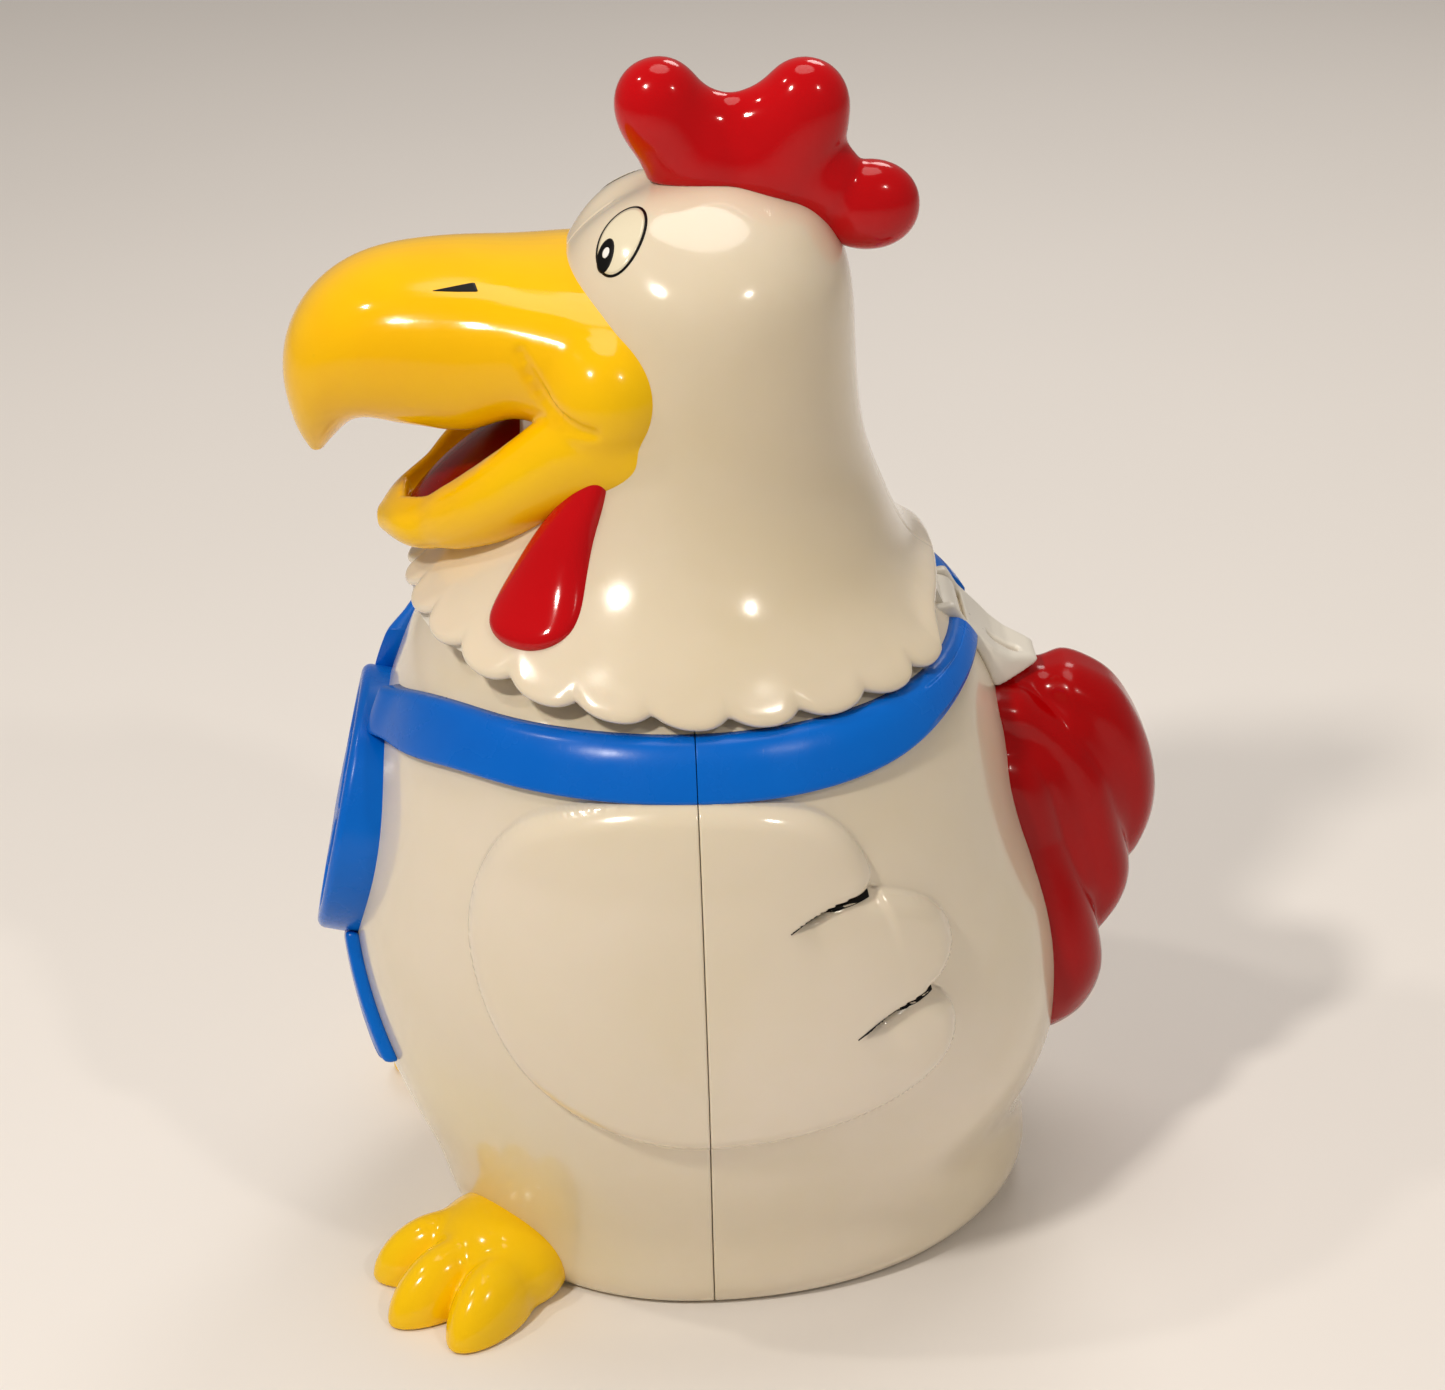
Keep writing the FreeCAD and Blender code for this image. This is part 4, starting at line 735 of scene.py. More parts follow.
def rounded(poly, cut=0.16, n=5):
    out = []
    m = len(poly)
    for i in range(m):
        p, q, r = poly[i - 1], poly[i], poly[(i + 1) % m]
        a, b = q + (p - q) * cut, q + (r - q) * cut
        for t in np.linspace(0, 1, n):
            out.append((1 - t) ** 2 * a + 2 * t * (1 - t) * q + t * t * b)
    return np.array(out)


outline = rounded(star)
rings = [(1.0, 3.2), (1.0, 4.7), (0.985, 5.0), (0.95, 5.22), (0.90, 5.3), (0.55, 5.5), (0.25, 5.62)]
side = np.cross(DU, DN)
pts = []
for s, h in rings:
    q = outline * s
    pts.append(DC + q[:, :1] * side + q[:, 1:] * DU + h * DN)
n = len(outline)
pts = np.vstack(pts + [(DC + 5.65 * DN)[None]])
quads = grid_faces(len(rings), n, wrap_c=True)
i = np.arange(n)
tris = np.stack([np.full(n, len(rings) * n), (len(rings) - 1) * n + i, (len(rings) - 1) * n + (i + 1) % n], 1)
emblem = outward(make("medallion_star", pts, quads, tris, ngons=[list(range(n))[::-1]]))
dress(sharpen(emblem, 60), "blue", "body", "medallion_emblem")


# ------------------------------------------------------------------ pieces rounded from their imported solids
def node_mesh(node):
    me = NODES[node].data
    me.calc_loop_triangles()
    pts = np.empty(len(me.vertices) * 3)
    me.vertices.foreach_get("co", pts)
    tris = np.empty(len(me.loop_triangles) * 3, np.int32)
    me.loop_triangles.foreach_get("vertices", tris)
    return pts.reshape(-1, 3) * 1000, tris.reshape(-1, 3)


def softened(name, node, step, times, grow=0.0, relax=6, trim=None):
    pts, tris = node_mesh(node)
    lo, hi = pts.min(0) - 4 * step, pts.max(0) + 4 * step
    F = Field(lo, hi, step)
    d = F.from_mesh(pts, tris=tris, band=4.0)
    d = soften(d, times) - grow
    if trim is not None:
        d = smax(d, trim(F), 2.0)
    return F.mesh(name, d, relax)


def split_softened(name, node, step, times, grow=0.0, relax=6):
    """The same for a node of two mirrored solids: the half at +X, and its mirror."""
    pts, tris = node_mesh(node)
    lo, hi = pts.min(0) - 4 * step, pts.max(0) + 4 * step
    lo[0] = -step
    F = Field(lo, hi, step)
    d = F.from_mesh(pts, tris=tris, band=4.0)
    d = np.maximum(soften(d, times) - grow, 0.6 - F.X)
    a = F.mesh(name, d, relax)
    b = a.copy()
    b.data = a.data.copy()
    bpy.context.scene.collection.objects.link(b)
    co = np.empty(len(b.data.vertices) * 3)
    b.data.vertices.foreach_get("co", co)
    co = co.reshape(-1, 3)
    co[:, 0] *= -1
    b.data.vertices.foreach_set("co", co.ravel())
    b.data.flip_normals()
    return join(name, [a, b])


dress(split_softened("ribbon_tails_form", "ribbon_tails", 0.5, 3, 0.1), "blue", "body", "ribbon_tails")
bracket = softened("hinge_bracket_form", "hinge_bracket", 0.4, 3, 0.08,
                   trim=lambda G: np.maximum((141.9 + (G.Y - SEAM - 77.0) * 0.35 - G.Z) * 0.94,
                                             (np.abs(G.X) - 13.4 + np.maximum(G.Y - SEAM - 75.0, 0) * 0.62) * 0.85))
dress(bracket, "white", "body", "hinge_bracket")

# ------------------------------------------------------------------ tail
# outlines seen from the side: each feather is a wider pillow lying over the one behind it
TAIL_A = [(60, 146), (75, 146), (84, 144.4), (89.2, 142.8), (94.3, 143.9), (100.7, 142.0), (107.1, 137.6), (112.4, 129.8), (116, 121.2),
          (118, 111.2), (117.7, 102.6), (115.4, 93.6), (112.0, 87.0), (104, 84), (90, 86), (60, 90)]
TAIL_B = [(60, 141), (76, 142), (83.0, 140.4), (87.8, 137.0), (93.3, 133.1), (98.8, 128.0), (102.6, 122.4), (105.7, 115.9), (108.0, 106.6),
          (109.8, 97.0), (110.9, 88.5), (109.3, 81.0), (106.5, 74.5), (102.9, 69.0), (94, 66), (60, 80)]
TAIL_C = [(60, 131), (78, 130), (84.0, 127.6), (88.6, 122.4), (91.6, 115.4), (93.8, 107.2), (96.2, 97.7), (99.6, 86.7), (101.9, 77.0),
          (103.0, 69.5), (102.6, 63.2), (97.8, 50.5), (91.4, 42.6), (84, 40), (60, 42)]
F = Field((-42, 50 + SEAM, 36), (42, 122 + SEAM, 150), 0.7)


def pillow(field, outline, half, puff, r, over=None):
    poly = curve_through(outline, 150, closed=True)
    y, z = field.Y[0, :, 0] - SEAM, field.Z[0, 0, :]
    YY, ZZ = np.meshgrid(y, z, indexing="ij")
    d = -polygon_distance(np.stack([YY.ravel(), ZZ.ravel()], -1), poly).reshape(YY.shape)[None]
    h = half + puff * (1 - np.exp(-np.maximum(-d, 0) / 14.0))
    if over is not None:
        # the surface dips where the next feather lies over it
        o = -polygon_distance(np.stack([YY.ravel(), ZZ.ravel()], -1), curve_through(over, 150, closed=True)).reshape(YY.shape)[None]
        h = h - 3.4 * np.exp(-((np.maximum(o, 0) / 5.0) ** 2)) * smoothstep(-14.0, -5.0, d)
    a, b = d + r, np.abs(field.X) - h + r
    return (np.hypot(np.maximum(a, 0), np.maximum(b, 0)) - r + np.minimum(np.maximum(a, b), 0)).astype(np.float32)


d = pillow(F, TAIL_A, 13.0, 4.5, 10.0, TAIL_B)
d = smin(d, pillow(F, TAIL_B, 18.5, 4.5, 8.0, TAIL_C), 0.8)
wide = (24.0 + np.clip((104 - F.Z) * 0.16, 0, 8)) * np.sqrt(np.clip(1 - (np.clip(80 - F.Z, 0, 40) / 41.0) ** 2, 0.05, 1))
d = smin(d, pillow(F, TAIL_C, wide, 4.5, 9.0), 0.8)
d = smax(d, -F.body(-0.8), 0.8)
tail = dress(F.mesh("tail_feathers_form", d, 4), "red_tail", "body", "tail_feathers")

# ------------------------------------------------------------------ feet
TOES = [(47.0, -70.5, 17.0, 12), (60.5, -67.5, 18.0, 38), (69.0, -55.5, 17.5, 56)]
F = Field((24, -104 + SEAM, -1.0), (90, -24 + SEAM, 25), 0.55)
d = F.ellipsoid((50, -54, 6.5), (20, 17, 14.5), turn=32)
toes = None
for tx, ty, length, turn in TOES:
    t = F.ellipsoid((tx, ty, 3.6), (8.8, length, 12.4), turn=turn, tilt=19, power=1.88)
    toes = t if toes is None else smin(toes, t, 0.9)
d = smin(d, toes, 1.8)
d = smax(d, -F.body(-0.6), 0.5)
d = smax(d, 0.05 - F.Z, 1.2)
left = F.mesh("foot_left_form", d, 4)
right_foot = left.copy()
right_foot.data = left.data.copy()
right_foot.name = "foot_right_form"
bpy.context.scene.collection.objects.link(right_foot)
co = np.empty(len(left.data.vertices) * 3)
left.data.vertices.foreach_get("co", co)
co = co.reshape(-1, 3)
co[:, 0] *= -1
right_foot.data.vertices.foreach_set("co", co.ravel())
right_foot.data.flip_normals()
dress(left, "yellow", "body", "foot_left")
dress(right_foot, "yellow", "body", "foot_right")

# ------------------------------------------------------------------ head shell
LOBE_A = np.array([35.7, 47.5, 62.7, 75.5, 88.6, 102.5, 116.0, 130.6, 145.9, 160.3, 174.2])
LOBE_Z = np.array([164.0, 163.4, 163.5, 163.9, 164.7, 166.6, 168.8, 171.5, 173.7, 174.7, 175.0])


def skirt_edge(phi):
    """Height of the skirt's edge, and how near a cusp the direction is (1 at the cusp)."""
    deg = np.degrees(np.abs((phi + PI) % (2 * PI) - PI))
    A = np.concatenate([[22.0], LOBE_A, [185.8]])
    Zl = np.concatenate([[164.6], LOBE_Z, [175.0]])
    k = np.clip(np.searchsorted(A, deg, side="right") - 1, 0, len(A) - 2)
    u = np.clip((deg - A[k]) / (A[k + 1] - A[k]), 0, 1)
    v = 2 * np.minimum(u, 1 - u)
    z = cubic(A, Zl)(deg) + 2.7 * v**2.3
    x = 70.0 * np.sin(np.radians(deg))
    arch = np.interp(x, [0, 8, 16, 24, 28, 31, 33.5, 35.5, 37, 38.2], [173.6, 173.5, 173.0, 172.2, 171.5, 170.4, 168.9, 167.0, 165.2, 160.0])
    inside = (x < 38.2) & (deg < 90)
    zb = np.where(inside, np.maximum(z, arch), z)
    v = np.where(inside & (arch > z), 0.5, v)
    return zb, v


def head_shell(name):
    n = 560
    phi = 2 * PI * np.arange(n) / n
    zb, v = skirt_edge(phi)
    T = HEAD_T[-1]
    tb = head_t(zb)
    e = np.concatenate([[0.0, 0.05, 0.2, 0.45, 0.8, 1.2, 1.6], spread(2.1, 16, 0.55)])
    rest = spread(0, 1, 1 / 118.0)[1:]
    t_low = tb[None] + e[:, None]
    t_up = t_low[-1][None] + (T - t_low[-1])[None] * rest[:, None]
    t = np.vstack([t_low, t_up])
    dist = t - tb[None]
    PH = np.broadcast_to(phi, t.shape)
    P = head_ring(PH, t)
    du = np.roll(P, -1, 1) - np.roll(P, 1, 1)
    dv = np.gradient(P, axis=0)
    N = np.cross(du, dv)
    N /= np.maximum(np.linalg.norm(N, axis=-1, keepdims=True), 1e-9)
    flip = np.sign((N * (P - np.array([0, SEAM, 200.0]))).sum(-1).mean())
    N *= flip
    N[-6:] = (0, 0, 1)
    h = np.zeros_like(t)
    r = 1.6
    h -= r - np.sqrt(np.maximum(r * r - np.maximum(r - dist, 0) ** 2, 0))
    V = np.broadcast_to(v, t.shape)
    h += 0.6 * (1 - V**2) * np.exp(-((dist / 6.0) ** 2)) + 1.1 * np.exp(-((dist / 5.0) ** 2))
    h -= 0.7 * np.exp(-(((1 - V) / 0.3) ** 2)) * np.exp(-((dist / 3.8) ** 2))
    x, y, z = P[..., 0], P[..., 1] - SEAM, P[..., 2]
    for sx in (-1, 1):
        q = (x - sx * 20.0) ** 2 / 12.0**2 + (y + 12.5) ** 2 / 12.0**2 + (z - 263.0) ** 2 / 12.0**2
        h += 1.7 * np.exp(-q)
    h -= 1.6 * np.exp(-((x / 7.0) ** 2)) * np.exp(-((y + 13.0) ** 2 + (z - 266.0) ** 2) / 13.0**2)
    # shallow parting line of the two head mouldings
    h -= 0.22 * np.exp(-((x / 0.45) ** 2)) * (z < 268)
    h += 0.08 * np.sin(PH * 3 + z * 0.06) * np.sin(z * 0.05)
    outer = P + N * h[..., None]
    apex = outer[-2].mean(0)
    outer[-1] = apex + np.array([0, 0, 0.02])
    rows = [outer[::-1]]
    rows.append((0.5 * (outer[0] + head_ring(phi, tb, -2.8)))[None] - np.array([0, 0, 0.0]))
    t_in = tb[None] + np.concatenate([[0.25, 1.0], np.linspace(3, 1, 1) * 1.0])[:, None]
    rows.append(head_ring(np.broadcast_to(phi, t_in.shape), t_in, -2.9))
    top_in = head_t(266.0)
    t_in = (tb + 4)[None] + (top_in - tb - 4)[None] * np.linspace(0, 1, 46)[:, None]
    rows.append(head_ring(np.broadcast_to(phi, t_in.shape), t_in, -2.9))
    last = rows[-1][-1]
    ctr = last.mean(0) + np.array([0, 0, 2.4])
    for f in (0.7, 0.4, 0.0):
        rows.append((ctr + (last - ctr) * f + np.array([0, 0, (1 - f * f) * 1.2]))[None])
    Q = np.concatenate(rows, 0)
    ob = make(name, Q.reshape(-1, 3), grid_faces(Q.shape[0], n, wrap_c=True))
    return outward(ob)


head = dress(head_shell("head_shell_form"), "cream_head", "head", "head_shell_left", "head_shell_right")

# ------------------------------------------------------------------ beak: one moulding with an open mouth
UPPER = [(-4, 227.5, 38.5, 25.5, 0), (-12, 229.0, 41.0, 26.0, 0), (-21, 232.0, 40.4, 24.6, 0), (-30, 235.6, 36.6, 21.2, 0),
         (-38, 237.4, 33.2, 19.6, 0), (-48, 236.4, 30.2, 21.4, 0), (-60, 236.4, 27.8, 21.2, 5), (-71.5, 234.6, 24.8, 19.8, 22),
         (-80.0, 228.4, 20.2, 15.8, 48), (-84.8, 220.2, 14.0, 8.8, 74), (-86.6, 213.6, 8.0, 4.8, 84), (-87.4, 208.4, 2.4, 1.5, 90)]
LOWER = [(-10, 214.0, 41.0, 9.0, 0), (-24, 211.0, 38.0, 11.0, 16), (-38, 204.5, 33.0, 11.5, 30), (-51, 197.5, 27.0, 10.5, 33),
         (-62, 192.0, 20.0, 8.2, 28), (-69.6, 190.0, 12.5, 5.2, 20), (-74.0, 189.4, 3.5, 2.0, 10)]
SCOOP = [(-22, 219.0, 30.0, 7.5, 16), (-38, 213.0, 25.0, 8.6, 30), (-51, 205.5, 20.0, 7.6, 33), (-61, 199.5, 13.0, 5.4, 28),
         (-66.5, 196.6, 6.0, 3.2, 20)]
F = Field((-50, -98 + SEAM, 178), (50, 4 + SEAM, 262), 0.6)
up_d = F.from_mesh(*loft(UPPER))
low_d = F.from_mesh(*loft(LOWER))
scoop_d = F.from_mesh(*loft(SCOOP))
for sx in (-1, 1):
    cheek = F.ellipsoid((sx * 35.0, -17.0, 229.5), (10.6, 12.4, 14.0))
    up_d = smin(up_d, cheek, 4.0)
    # the lip's side wall, rising to the corner of the mouth
    lip = None
    for cy, cx, cz, rr in ((-15, 33.6, 219.5, 10.4), (-20, 33.4, 220.4, 9.4), (-24.5, 32.6, 218.0, 9.2), (-29, 31.4, 214.6, 9.0),
                           (-34, 30.0, 210.8, 8.8), (-39, 28.2, 206.8, 8.6), (-44, 26.2, 203.0, 7.8), (-49, 23.2, 199.4, 6.6),
                           (-54, 19.4, 196.4, 5.0)):
        e = F.ellipsoid((sx * cx, cy, cz), (rr * 0.86, rr, rr * 1.02))
        lip = e if lip is None else smin(lip, e, 6.0)
    low_d = smin(low_d, lip, 6.0)
low_d = smax(low_d, -scoop_d, 2.2)
beak_d = smin(up_d, low_d, 1.4)
# soft crease round the cheek from the side of the beak to under the corner of the mouth
creases = [(-36.0, 242.0, 0.7), (-35.0, 239.5, 1.0), (-33.8, 236.5, 1.3), (-32.0, 233.0, 1.6), (-30.0, 229.8, 1.8), (-26.5, 227.6, 1.7),
           (-23.5, 226.6, 1.4), (-20.4, 226.0, 0.9)]
cr = curve_through([(a, b) for a, b, c in creases], 26, closed=False)
cw = np.interp(np.linspace(0, 1, len(cr)), np.linspace(0, 1, len(creases)), [c for a, b, c in creases])
groove = None
for (gy, gz), gr in zip(cr, cw):
    iy = int(round((gy + SEAM) / F.step)) - F.i0[1]
    iz = int(round(gz / F.step)) - F.i0[2]
    gx = (np.nonzero(beak_d[:, iy, iz] < 0)[0].max() + F.i0[0] + 0.6) * F.step
    for sx in (-1, 1):
        e = np.sqrt((F.X - sx * gx) ** 2 + (F.Y - SEAM - gy) ** 2 + (F.Z - gz) ** 2) - gr
        groove = e if groove is None else np.minimum(groove, e)
beak_d = smax(beak_d, -groove, 2.4)
beak_d = smax(beak_d, -F.head(-1.2), 0.6)
beak = dress(F.mesh("beak_form", beak_d, 5), "yellow", "head", "beak_upper", "beak_lower")

# tongue: a leaf lying in the lower beak
F = Field((-20, -76 + SEAM, 180), (20, -18 + SEAM, 232), 0.5)
d = F.ellipsoid((0, -47, 203.5), (15.0, 24.0, 5.4), tilt=33)
d = smin(d, F.ellipsoid((0, -45, 205.5), (11.5, 19.0, 5.4), tilt=33), 3.0)
dress(F.mesh("tongue_form", d, 4), "dark_red", "head", "tongue")

# ------------------------------------------------------------------ comb
F = Field((-14, -20 + SEAM, 246), (14, 64 + SEAM, 305), 0.55)
d = F.ellipsoid((0, -1.4, 288.2), (9.7, 10.7, 12.2), tilt=16, power=2.1)
d = smin(d, F.ellipsoid((0, 4.5, 279.0), (9.0, 11.0, 15.0), tilt=20), 4.0)
e = F.ellipsoid((0, 31.2, 286.2), (9.8, 10.9, 12.8), tilt=-14, power=2.1)
e = smin(e, F.ellipsoid((0, 27.0, 277.0), (9.2, 13.0, 16.0), tilt=-10), 4.0)
d = smin(d, e, 3.0)
d = smin(d, F.ellipsoid((0, 16.0, 273.5), (9.0, 19.0, 17.6)), 6.0)
d = smin(d, F.ellipsoid((0, 36.5, 268.5), (8.4, 9.5, 11.0)), 3.0)
d = smin(d, F.ellipsoid((0, 46.2, 263.6), (9.0, 12.2, 10.6), power=2.1), 1.4)
d = smax(d, -F.head(-1.0), 0.6)
dress(F.mesh("comb_form", d, 5), "red", "head", "comb")


# ------------------------------------------------------------------ wattles
def wattle(name, sx):
    rows = np.array([(37.5, -17.5, 218.0, 1.6, 2.6), (38.5, -22.0, 209.0, 5.0, 4.6), (39.5, -27.0, 200.0, 7.8, 6.0),
                     (42.5, -31.0, 191.0, 10.6, 7.0), (47.0, -34.5, 184.0, 12.2, 7.2), (50.0, -37.0, 179.0, 9.0, 6.2),
                     (51.5, -38.0, 175.6, 2.0, 2.0)])
    t = np.concatenate([[0], np.cumsum(np.linalg.norm(np.diff(rows[:, :3], axis=0), axis=1))])
    f = cubic(t, rows)
    q = f(np.linspace(0, t[-1], 64))
    # both ends close in a round
    k = np.linspace(0, 1, 64)
    endr = np.sqrt(np.clip(1 - np.clip(1 - k / 0.05, 0, 1) ** 2, 0, 1)) * np.sqrt(np.clip(1 - np.clip(1 - (1 - k) / 0.06, 0, 1) ** 2, 0, 1))
    a = 2 * PI * np.arange(56) / 56
    nx, ny = 0.78, -0.62
    u = (np.maximum(q[:, 3], 0.8) * endr)[:, None] * np.sign(np.cos(a)) * np.abs(np.cos(a)) ** (2 / 2.3)
    w = (np.maximum(q[:, 4], 1.0) * endr)[:, None] * np.sign(np.sin(a)) * np.abs(np.sin(a)) ** (2 / 2.3)
    P = np.stack([sx * (q[:, 0][:, None] - ny * u + nx * w), q[:, 1][:, None] + SEAM + nx * u + ny * w, q[:, 2][:, None] + 0 * u], -1)
    pts = P.reshape(-1, 3)
    ob = make(name, pts, grid_faces(64, 56, wrap_c=True), ngons=[list(range(56))[::-1], list(range(63 * 56, 64 * 56))])
    return outward(ob)


dress(wattle("wattle_left_form", 1), "red", "head", "wattle_left")
dress(wattle("wattle_right_form", -1), "red", "head", "wattle_right")


# ------------------------------------------------------------------ printed eyes, and flat black nostril patches
def tree(ob):
    me = ob.data
    co = np.empty(len(me.vertices) * 3)
    me.vertices.foreach_get("co", co)
    return BVHTree.FromPolygons([Vector(c) for c in co.reshape(-1, 3)], [list(p.vertices) for p in me.polygons])


HEAD_TREE, BEAK_TREE = tree(head), tree(beak)


def decal(name, target, centre, normal, upv, outline2d, lift, key, body="head", rings=9):
    """Thin closed patch lying on a surface: outline in a plane, cast along the normal."""
    c, nrm, upv = [np.array(v, float) for v in (centre, normal, upv)]
    nrm /= np.linalg.norm(nrm)
    upv = upv - nrm * (upv @ nrm)
    upv /= np.linalg.norm(upv)
    sd = np.cross(upv, nrm)
    o = np.array(outline2d, float)
    mid = o.mean(0)
    P = []
    for k in range(rings + 1):
        s = 1 - k / rings
        q = mid + (o - mid) * s if k < rings else mid[None]
        for u, v in q:
            start = c + sd * u + upv * v + nrm * 14
            hit, hn, _, _ = target.ray_cast(Vector(start * 0.001), Vector(-nrm))
            p = np.array(hit) * 1000 if hit is not None else start - nrm * 14
            hn = np.array(hn) if hit is not None else nrm
            if hn @ nrm < 0:
                hn = -hn
            P.append((p, hn))
    m = len(o)
    top = np.array([p + h * (lift - (0.03 if i < m else 0.0)) for i, (p, h) in enumerate(P)])
    base = np.array([p - h * 0.35 for p, h in P[:m]])
    pts = np.vstack([top, base])
    quads = list(grid_faces(rings, m, wrap_c=True))
    apex = rings * m
    i = np.arange(m)
    tris = np.stack([np.full(m, apex), (rings - 1) * m + i, (rings - 1) * m + (i + 1) % m], 1)
    skirt = np.stack([i, (i + 1) % m, apex + 1 + (i + 1) % m, apex + 1 + i], 1)
    ob = make(name, pts, np.vstack([np.array(quads), skirt]), tris, ngons=[list(range(apex + 1, apex + 1 + m))])
    return dress(outward(ob), key, body)


def shadow_strip_decal(name, target, sx, top, bot, lift):
    """Thin closed black ribbon between two runs of (y, z) points, cast on to the side of the body: painted shadow
    inside a fold.
    """
    rows = []
    for f in np.linspace(0, 1, 5):
        rows.append(top + (bot - top) * f)
    G = []
    for q in rows:
        line = []
        for y, z in q:
            hit, hn, _, _ = target.ray_cast(Vector((sx * 0.2, (y + SEAM) * 0.001, z * 0.001)), Vector((-sx, 0, 0)))
            hn = np.array(hn)
            hn = hn if hn[0] * sx > 0 else -hn
            line.append((np.array(hit) * 1000, hn))
        G.append(line)
    up_side = np.array([[p + h * lift for p, h in line] for line in G])
    low_side = np.array([[p - h * 0.3 for p, h in line] for line in G])
    nr, nc = up_side.shape[:2]
    pts = np.vstack([up_side.reshape(-1, 3), low_side.reshape(-1, 3)])
    q1 = np.array(grid_faces(nr, nc))
    q2 = np.array(grid_faces(nr, nc))[:, ::-1] + nr * nc
    border = list(range(nc)) + [r * nc + nc - 1 for r in range(1, nr)] + [(nr - 1) * nc + c for c in range(nc - 2, -1, -1)] + [r * nc for r in range(nr - 2, 0, -1)]
    b = np.array(border)
    b2 = np.roll(b, -1)
    q3 = np.stack([b2, b, b + nr * nc, b2 + nr * nc], 1)
    ob = make(name, pts, np.vstack([q1, q2, q3]))
    return dress(outward(ob), "print_and_shadow_black", "body")


def oval(a, b, n=88, cx=0.0, cy=0.0, egg=0.0):
    t = 2 * PI * np.arange(n) / n
    return [(cx + a * math.cos(s) * (1 - egg * math.sin(s)), cy + b * math.sin(s)) for s in t]


EYE_UP = np.array([-0.12, 0.30, 0.62])
for sx, tag in ((1, "left"), (-1, "right")):
    c = (sx * 19.6, -10.5 + SEAM, 262.2)
    nrm = (sx * 0.535, -0.53, 0.66)
    upv = (-sx * 0.715, 0.329, 0.617)
    # frame: v runs up the long axis, u across it
    decal("eye_outline_" + tag, HEAD_TREE, c, nrm, upv, oval(6.1, 9.7), 0.10, "print_and_shadow_black")
    decal("eye_white_" + tag, HEAD_TREE, c, nrm, upv, oval(5.45, 9.05), 0.15, "print_cream")
    px, py = -sx * 2.5, -4.3
    decal("eye_pupil_" + tag, HEAD_TREE, c, nrm, upv, oval(2.35, 4.3, cx=px, cy=py), 0.20, "print_and_shadow_black", rings=6)
    decal("eye_glint_" + tag, HEAD_TREE, c, nrm, upv, oval(0.95, 1.35, n=40, cx=px + 0.1 * sx, cy=py + 0.6), 0.25, "print_white", rings=4)
    # nostrils: flat black wedge patches on the beak, with no recess cut
    nose = [(-5.0 * sx, -0.9), (-4.6 * sx, -0.75), (4.0 * sx, 0.9), (4.6 * sx, 0.85), (5.6 * sx, -0.9), (5.2 * sx, -1.05), (0.2 * sx, -1.05)]
    pts2 = rounded(np.array(nose), 0.12, 3)
    decal("nostril_" + tag, BEAK_TREE, (sx * 20.8, -51.0 + SEAM, 256.4), (sx * 0.56, -0.1, 0.82), (-sx * 0.82, 0.1, 0.56), pts2 * np.array([1.0, 1.45]), 0.10, "print_and_shadow_black", rings=5)

# the two folds at the wing's rear edge, with black strips laid in them as painted shadow
REAR_TREE = tree(body_rear)
for sx, tag in ((1, "left"), (-1, "right")):
    for k, (inner, outer) in enumerate(SLITS):
        u = outer - inner
        length = np.linalg.norm(u)
        u = u / length
        n2 = np.array([u[1], -u[0]])
        t = np.linspace(0.03, 0.985, 30)
        mid_line = inner + np.outer(t * length, u) - np.outer(1.5 * np.sin(t * PI), n2)
        half = 0.15 + 1.25 * smoothstep(0.0, 0.7, t)
        top = mid_line + n2 * 0.05
        bot = mid_line + n2[None] * (0.05 + 2 * half[:, None] * 0.8)
        shadow_strip_decal("wing_fold_painted_shadow_%d_%s" % (k, tag), REAR_TREE, sx, top, bot, 0.12)

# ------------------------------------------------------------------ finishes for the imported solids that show
BY_SLOT = {"cream_plastic": "cream", "white_plastic": "white", "red_plastic": "red", "dark_red_plastic": "dark_red",
           "yellow_plastic": "yellow", "blue_plastic": "blue", "black_plastic": "black", "board_green": "board",
           "cell_wrap": "cell", "steel": "steel"}
slot_of = {s["node"]: s["material_slot"] for s in frame["record"]["subparts"]}
for nname, ob in NODES.items():
    key = BY_SLOT[slot_of[nname]]
    if nname == "inner_jar":
        key = "inner_white"
    ob.data.materials.clear()
    ob.data.materials.append(M[key])

# ------------------------------------------------------------------ floor, light and camera
floor_m = bpy.data.materials.new("pale_floor")
floor_m.use_nodes = True
nt = floor_m.node_tree
fb = nt.nodes["Principled BSDF"]
ftc = nt.nodes.new("ShaderNodeTexCoord")
fn = nt.nodes.new("ShaderNodeTexNoise")
fn.inputs["Scale"].default_value = 3.0
fr = nt.nodes.new("ShaderNodeValToRGB")
fr.color_ramp.elements[0].color, fr.color_ramp.elements[1].color = lin(236, 232, 228), lin(241, 237, 233)
nt.links.new(ftc.outputs["Object"], fn.inputs["Vector"])
nt.links.new(fn.outputs["Fac"], fr.inputs["Fac"])
nt.links.new(fr.outputs["Color"], fb.inputs["Base Color"])
fb.inputs["Roughness"].default_value = 0.55
fb.inputs["Specular IOR Level"].default_value = 0.3
bpy.ops.mesh.primitive_grid_add(x_subdivisions=8, y_subdivisions=8, size=14.0, location=(0, 0, -0.0002))
floor = bpy.context.object
floor.name = "floor"
floor.data.materials.append(floor_m)


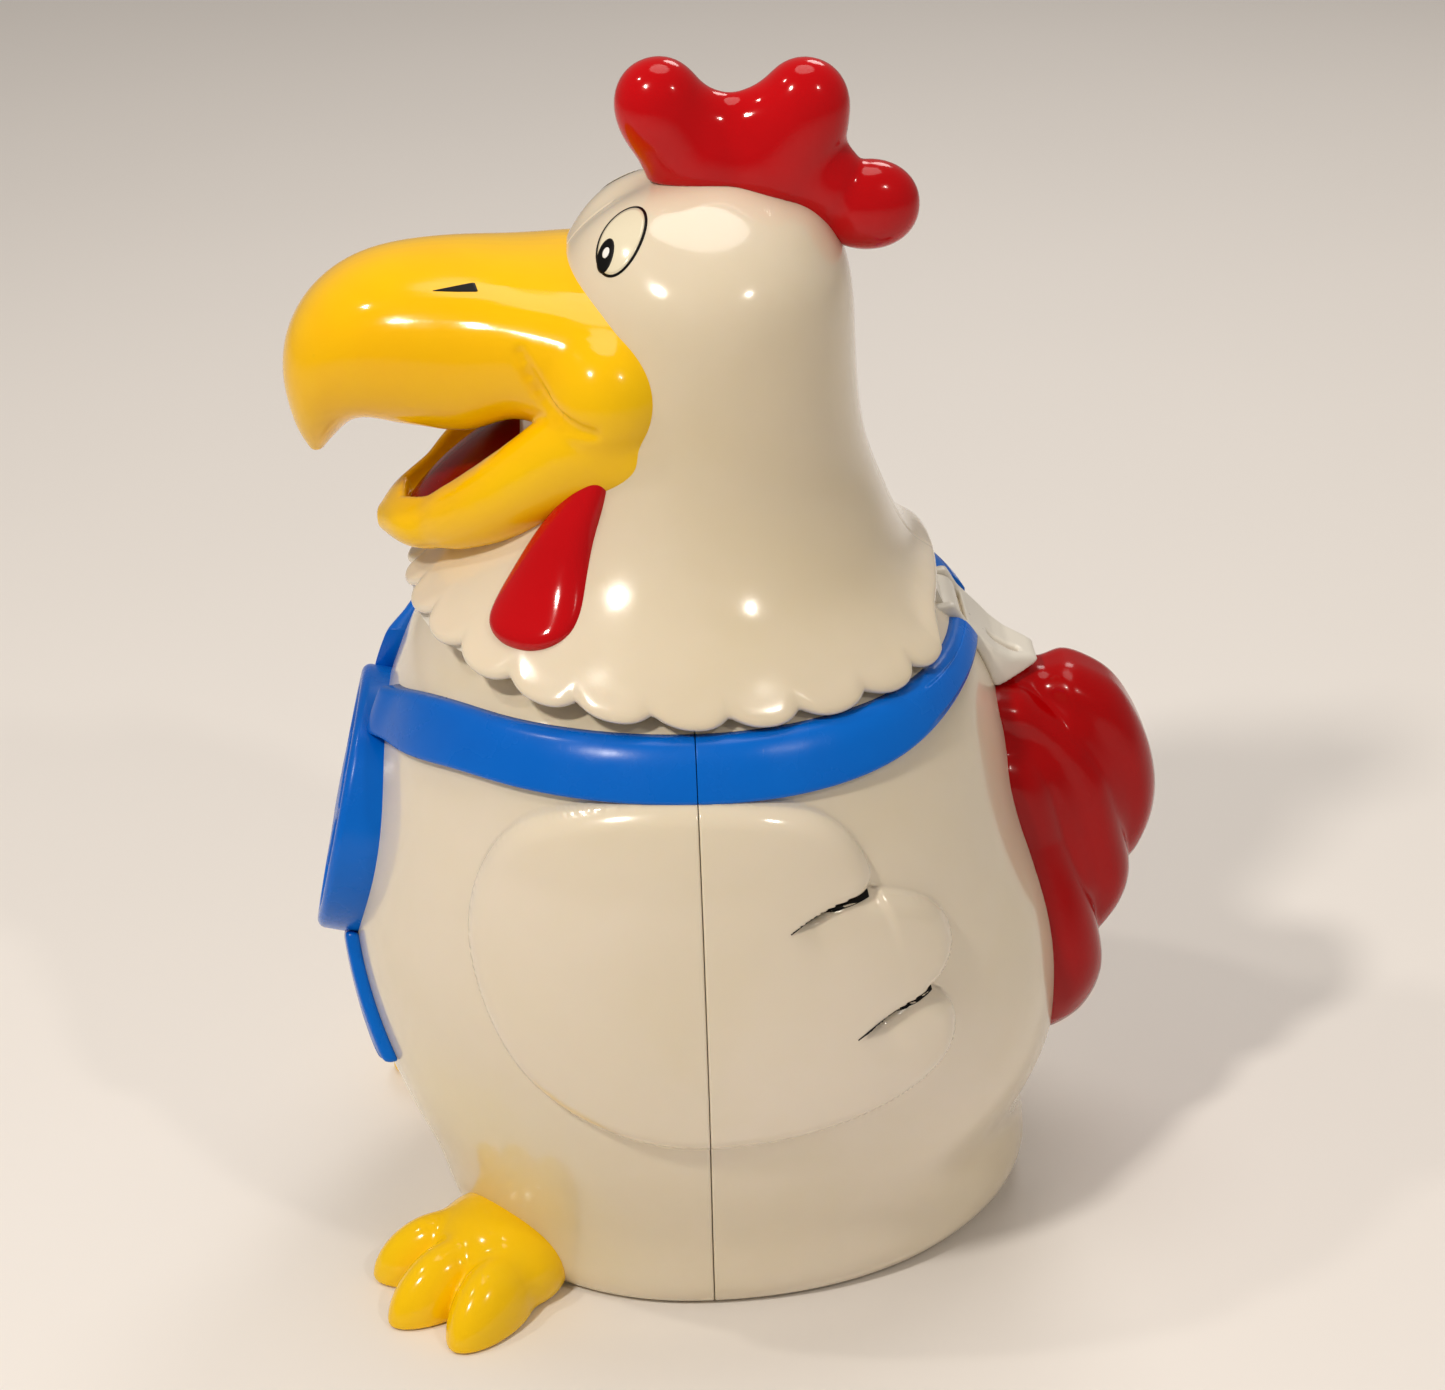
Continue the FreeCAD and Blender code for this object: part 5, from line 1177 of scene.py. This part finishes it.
def area(name, loc, aim, size, power, colour=(1.0, 0.93, 0.84), sy=None):
    d = bpy.data.lights.new(name, "AREA")
    d.shape = "RECTANGLE" if sy else "DISK"
    d.size = size
    if sy:
        d.size_y = sy
    d.energy = power
    d.color = colour
    o = bpy.data.objects.new(name, d)
    o.location = loc
    o.rotation_mode = "QUATERNION"
    o.rotation_quaternion = (Vector(loc) - Vector(aim)).to_track_quat("Z", "Y")
    bpy.context.scene.collection.objects.link(o)
    return o


AIM = (0, -0.01, 0.15)
area("key_soft", (0.80, -0.66, 1.30), AIM, 0.15, 10.5)
area("spot_left", (0.10, -0.80, 1.30), AIM, 0.08, 2.2)
area("spot_right", (0.85, 0.70, 1.20), AIM, 0.09, 2.6)
area("ceiling", (-0.35, 0.1, 2.3), AIM, 1.3, 12.5, (1.0, 0.94, 0.87))
area("rim_back", (-0.9, 0.35, 1.0), AIM, 0.4, 2.5, (1.0, 0.96, 0.92))

world = bpy.data.worlds.new("studio")
world.use_nodes = True
bg = world.node_tree.nodes["Background"]
bg.inputs["Color"].default_value = lin(236, 228, 220)
bg.inputs["Strength"].default_value = 0.30
bpy.context.scene.world = world
bpy.context.scene.view_settings.view_transform = "Standard"

cam_data = bpy.data.cameras.new("camera")
cam_data.sensor_width = 36.0
cam_data.lens = 79.17
cam = bpy.data.objects.new("camera", cam_data)
bpy.context.scene.collection.objects.link(cam)
bpy.context.scene.camera = cam
el, az, roll, dist = math.radians(26.0), math.radians(88.5), math.radians(1.8), 0.8
back = Vector((math.sin(az) * math.cos(el), -math.cos(az) * math.cos(el), math.sin(el)))
target = Vector((0.0, -0.0023, 0.1372))
rt = (-back).cross(Vector((0, 0, 1))).normalized()
upw = rt.cross(-back).normalized()
up2 = upw * math.cos(roll) + rt * math.sin(roll)
rt2 = rt * math.cos(roll) - upw * math.sin(roll)
cam.matrix_world = Matrix(((rt2.x, up2.x, back.x, 0), (rt2.y, up2.y, back.y, 0), (rt2.z, up2.z, back.z, 0), (0, 0, 0, 1)))
cam.location = target + back * dist
cam_data.clip_start, cam_data.clip_end = 0.01, 60.0
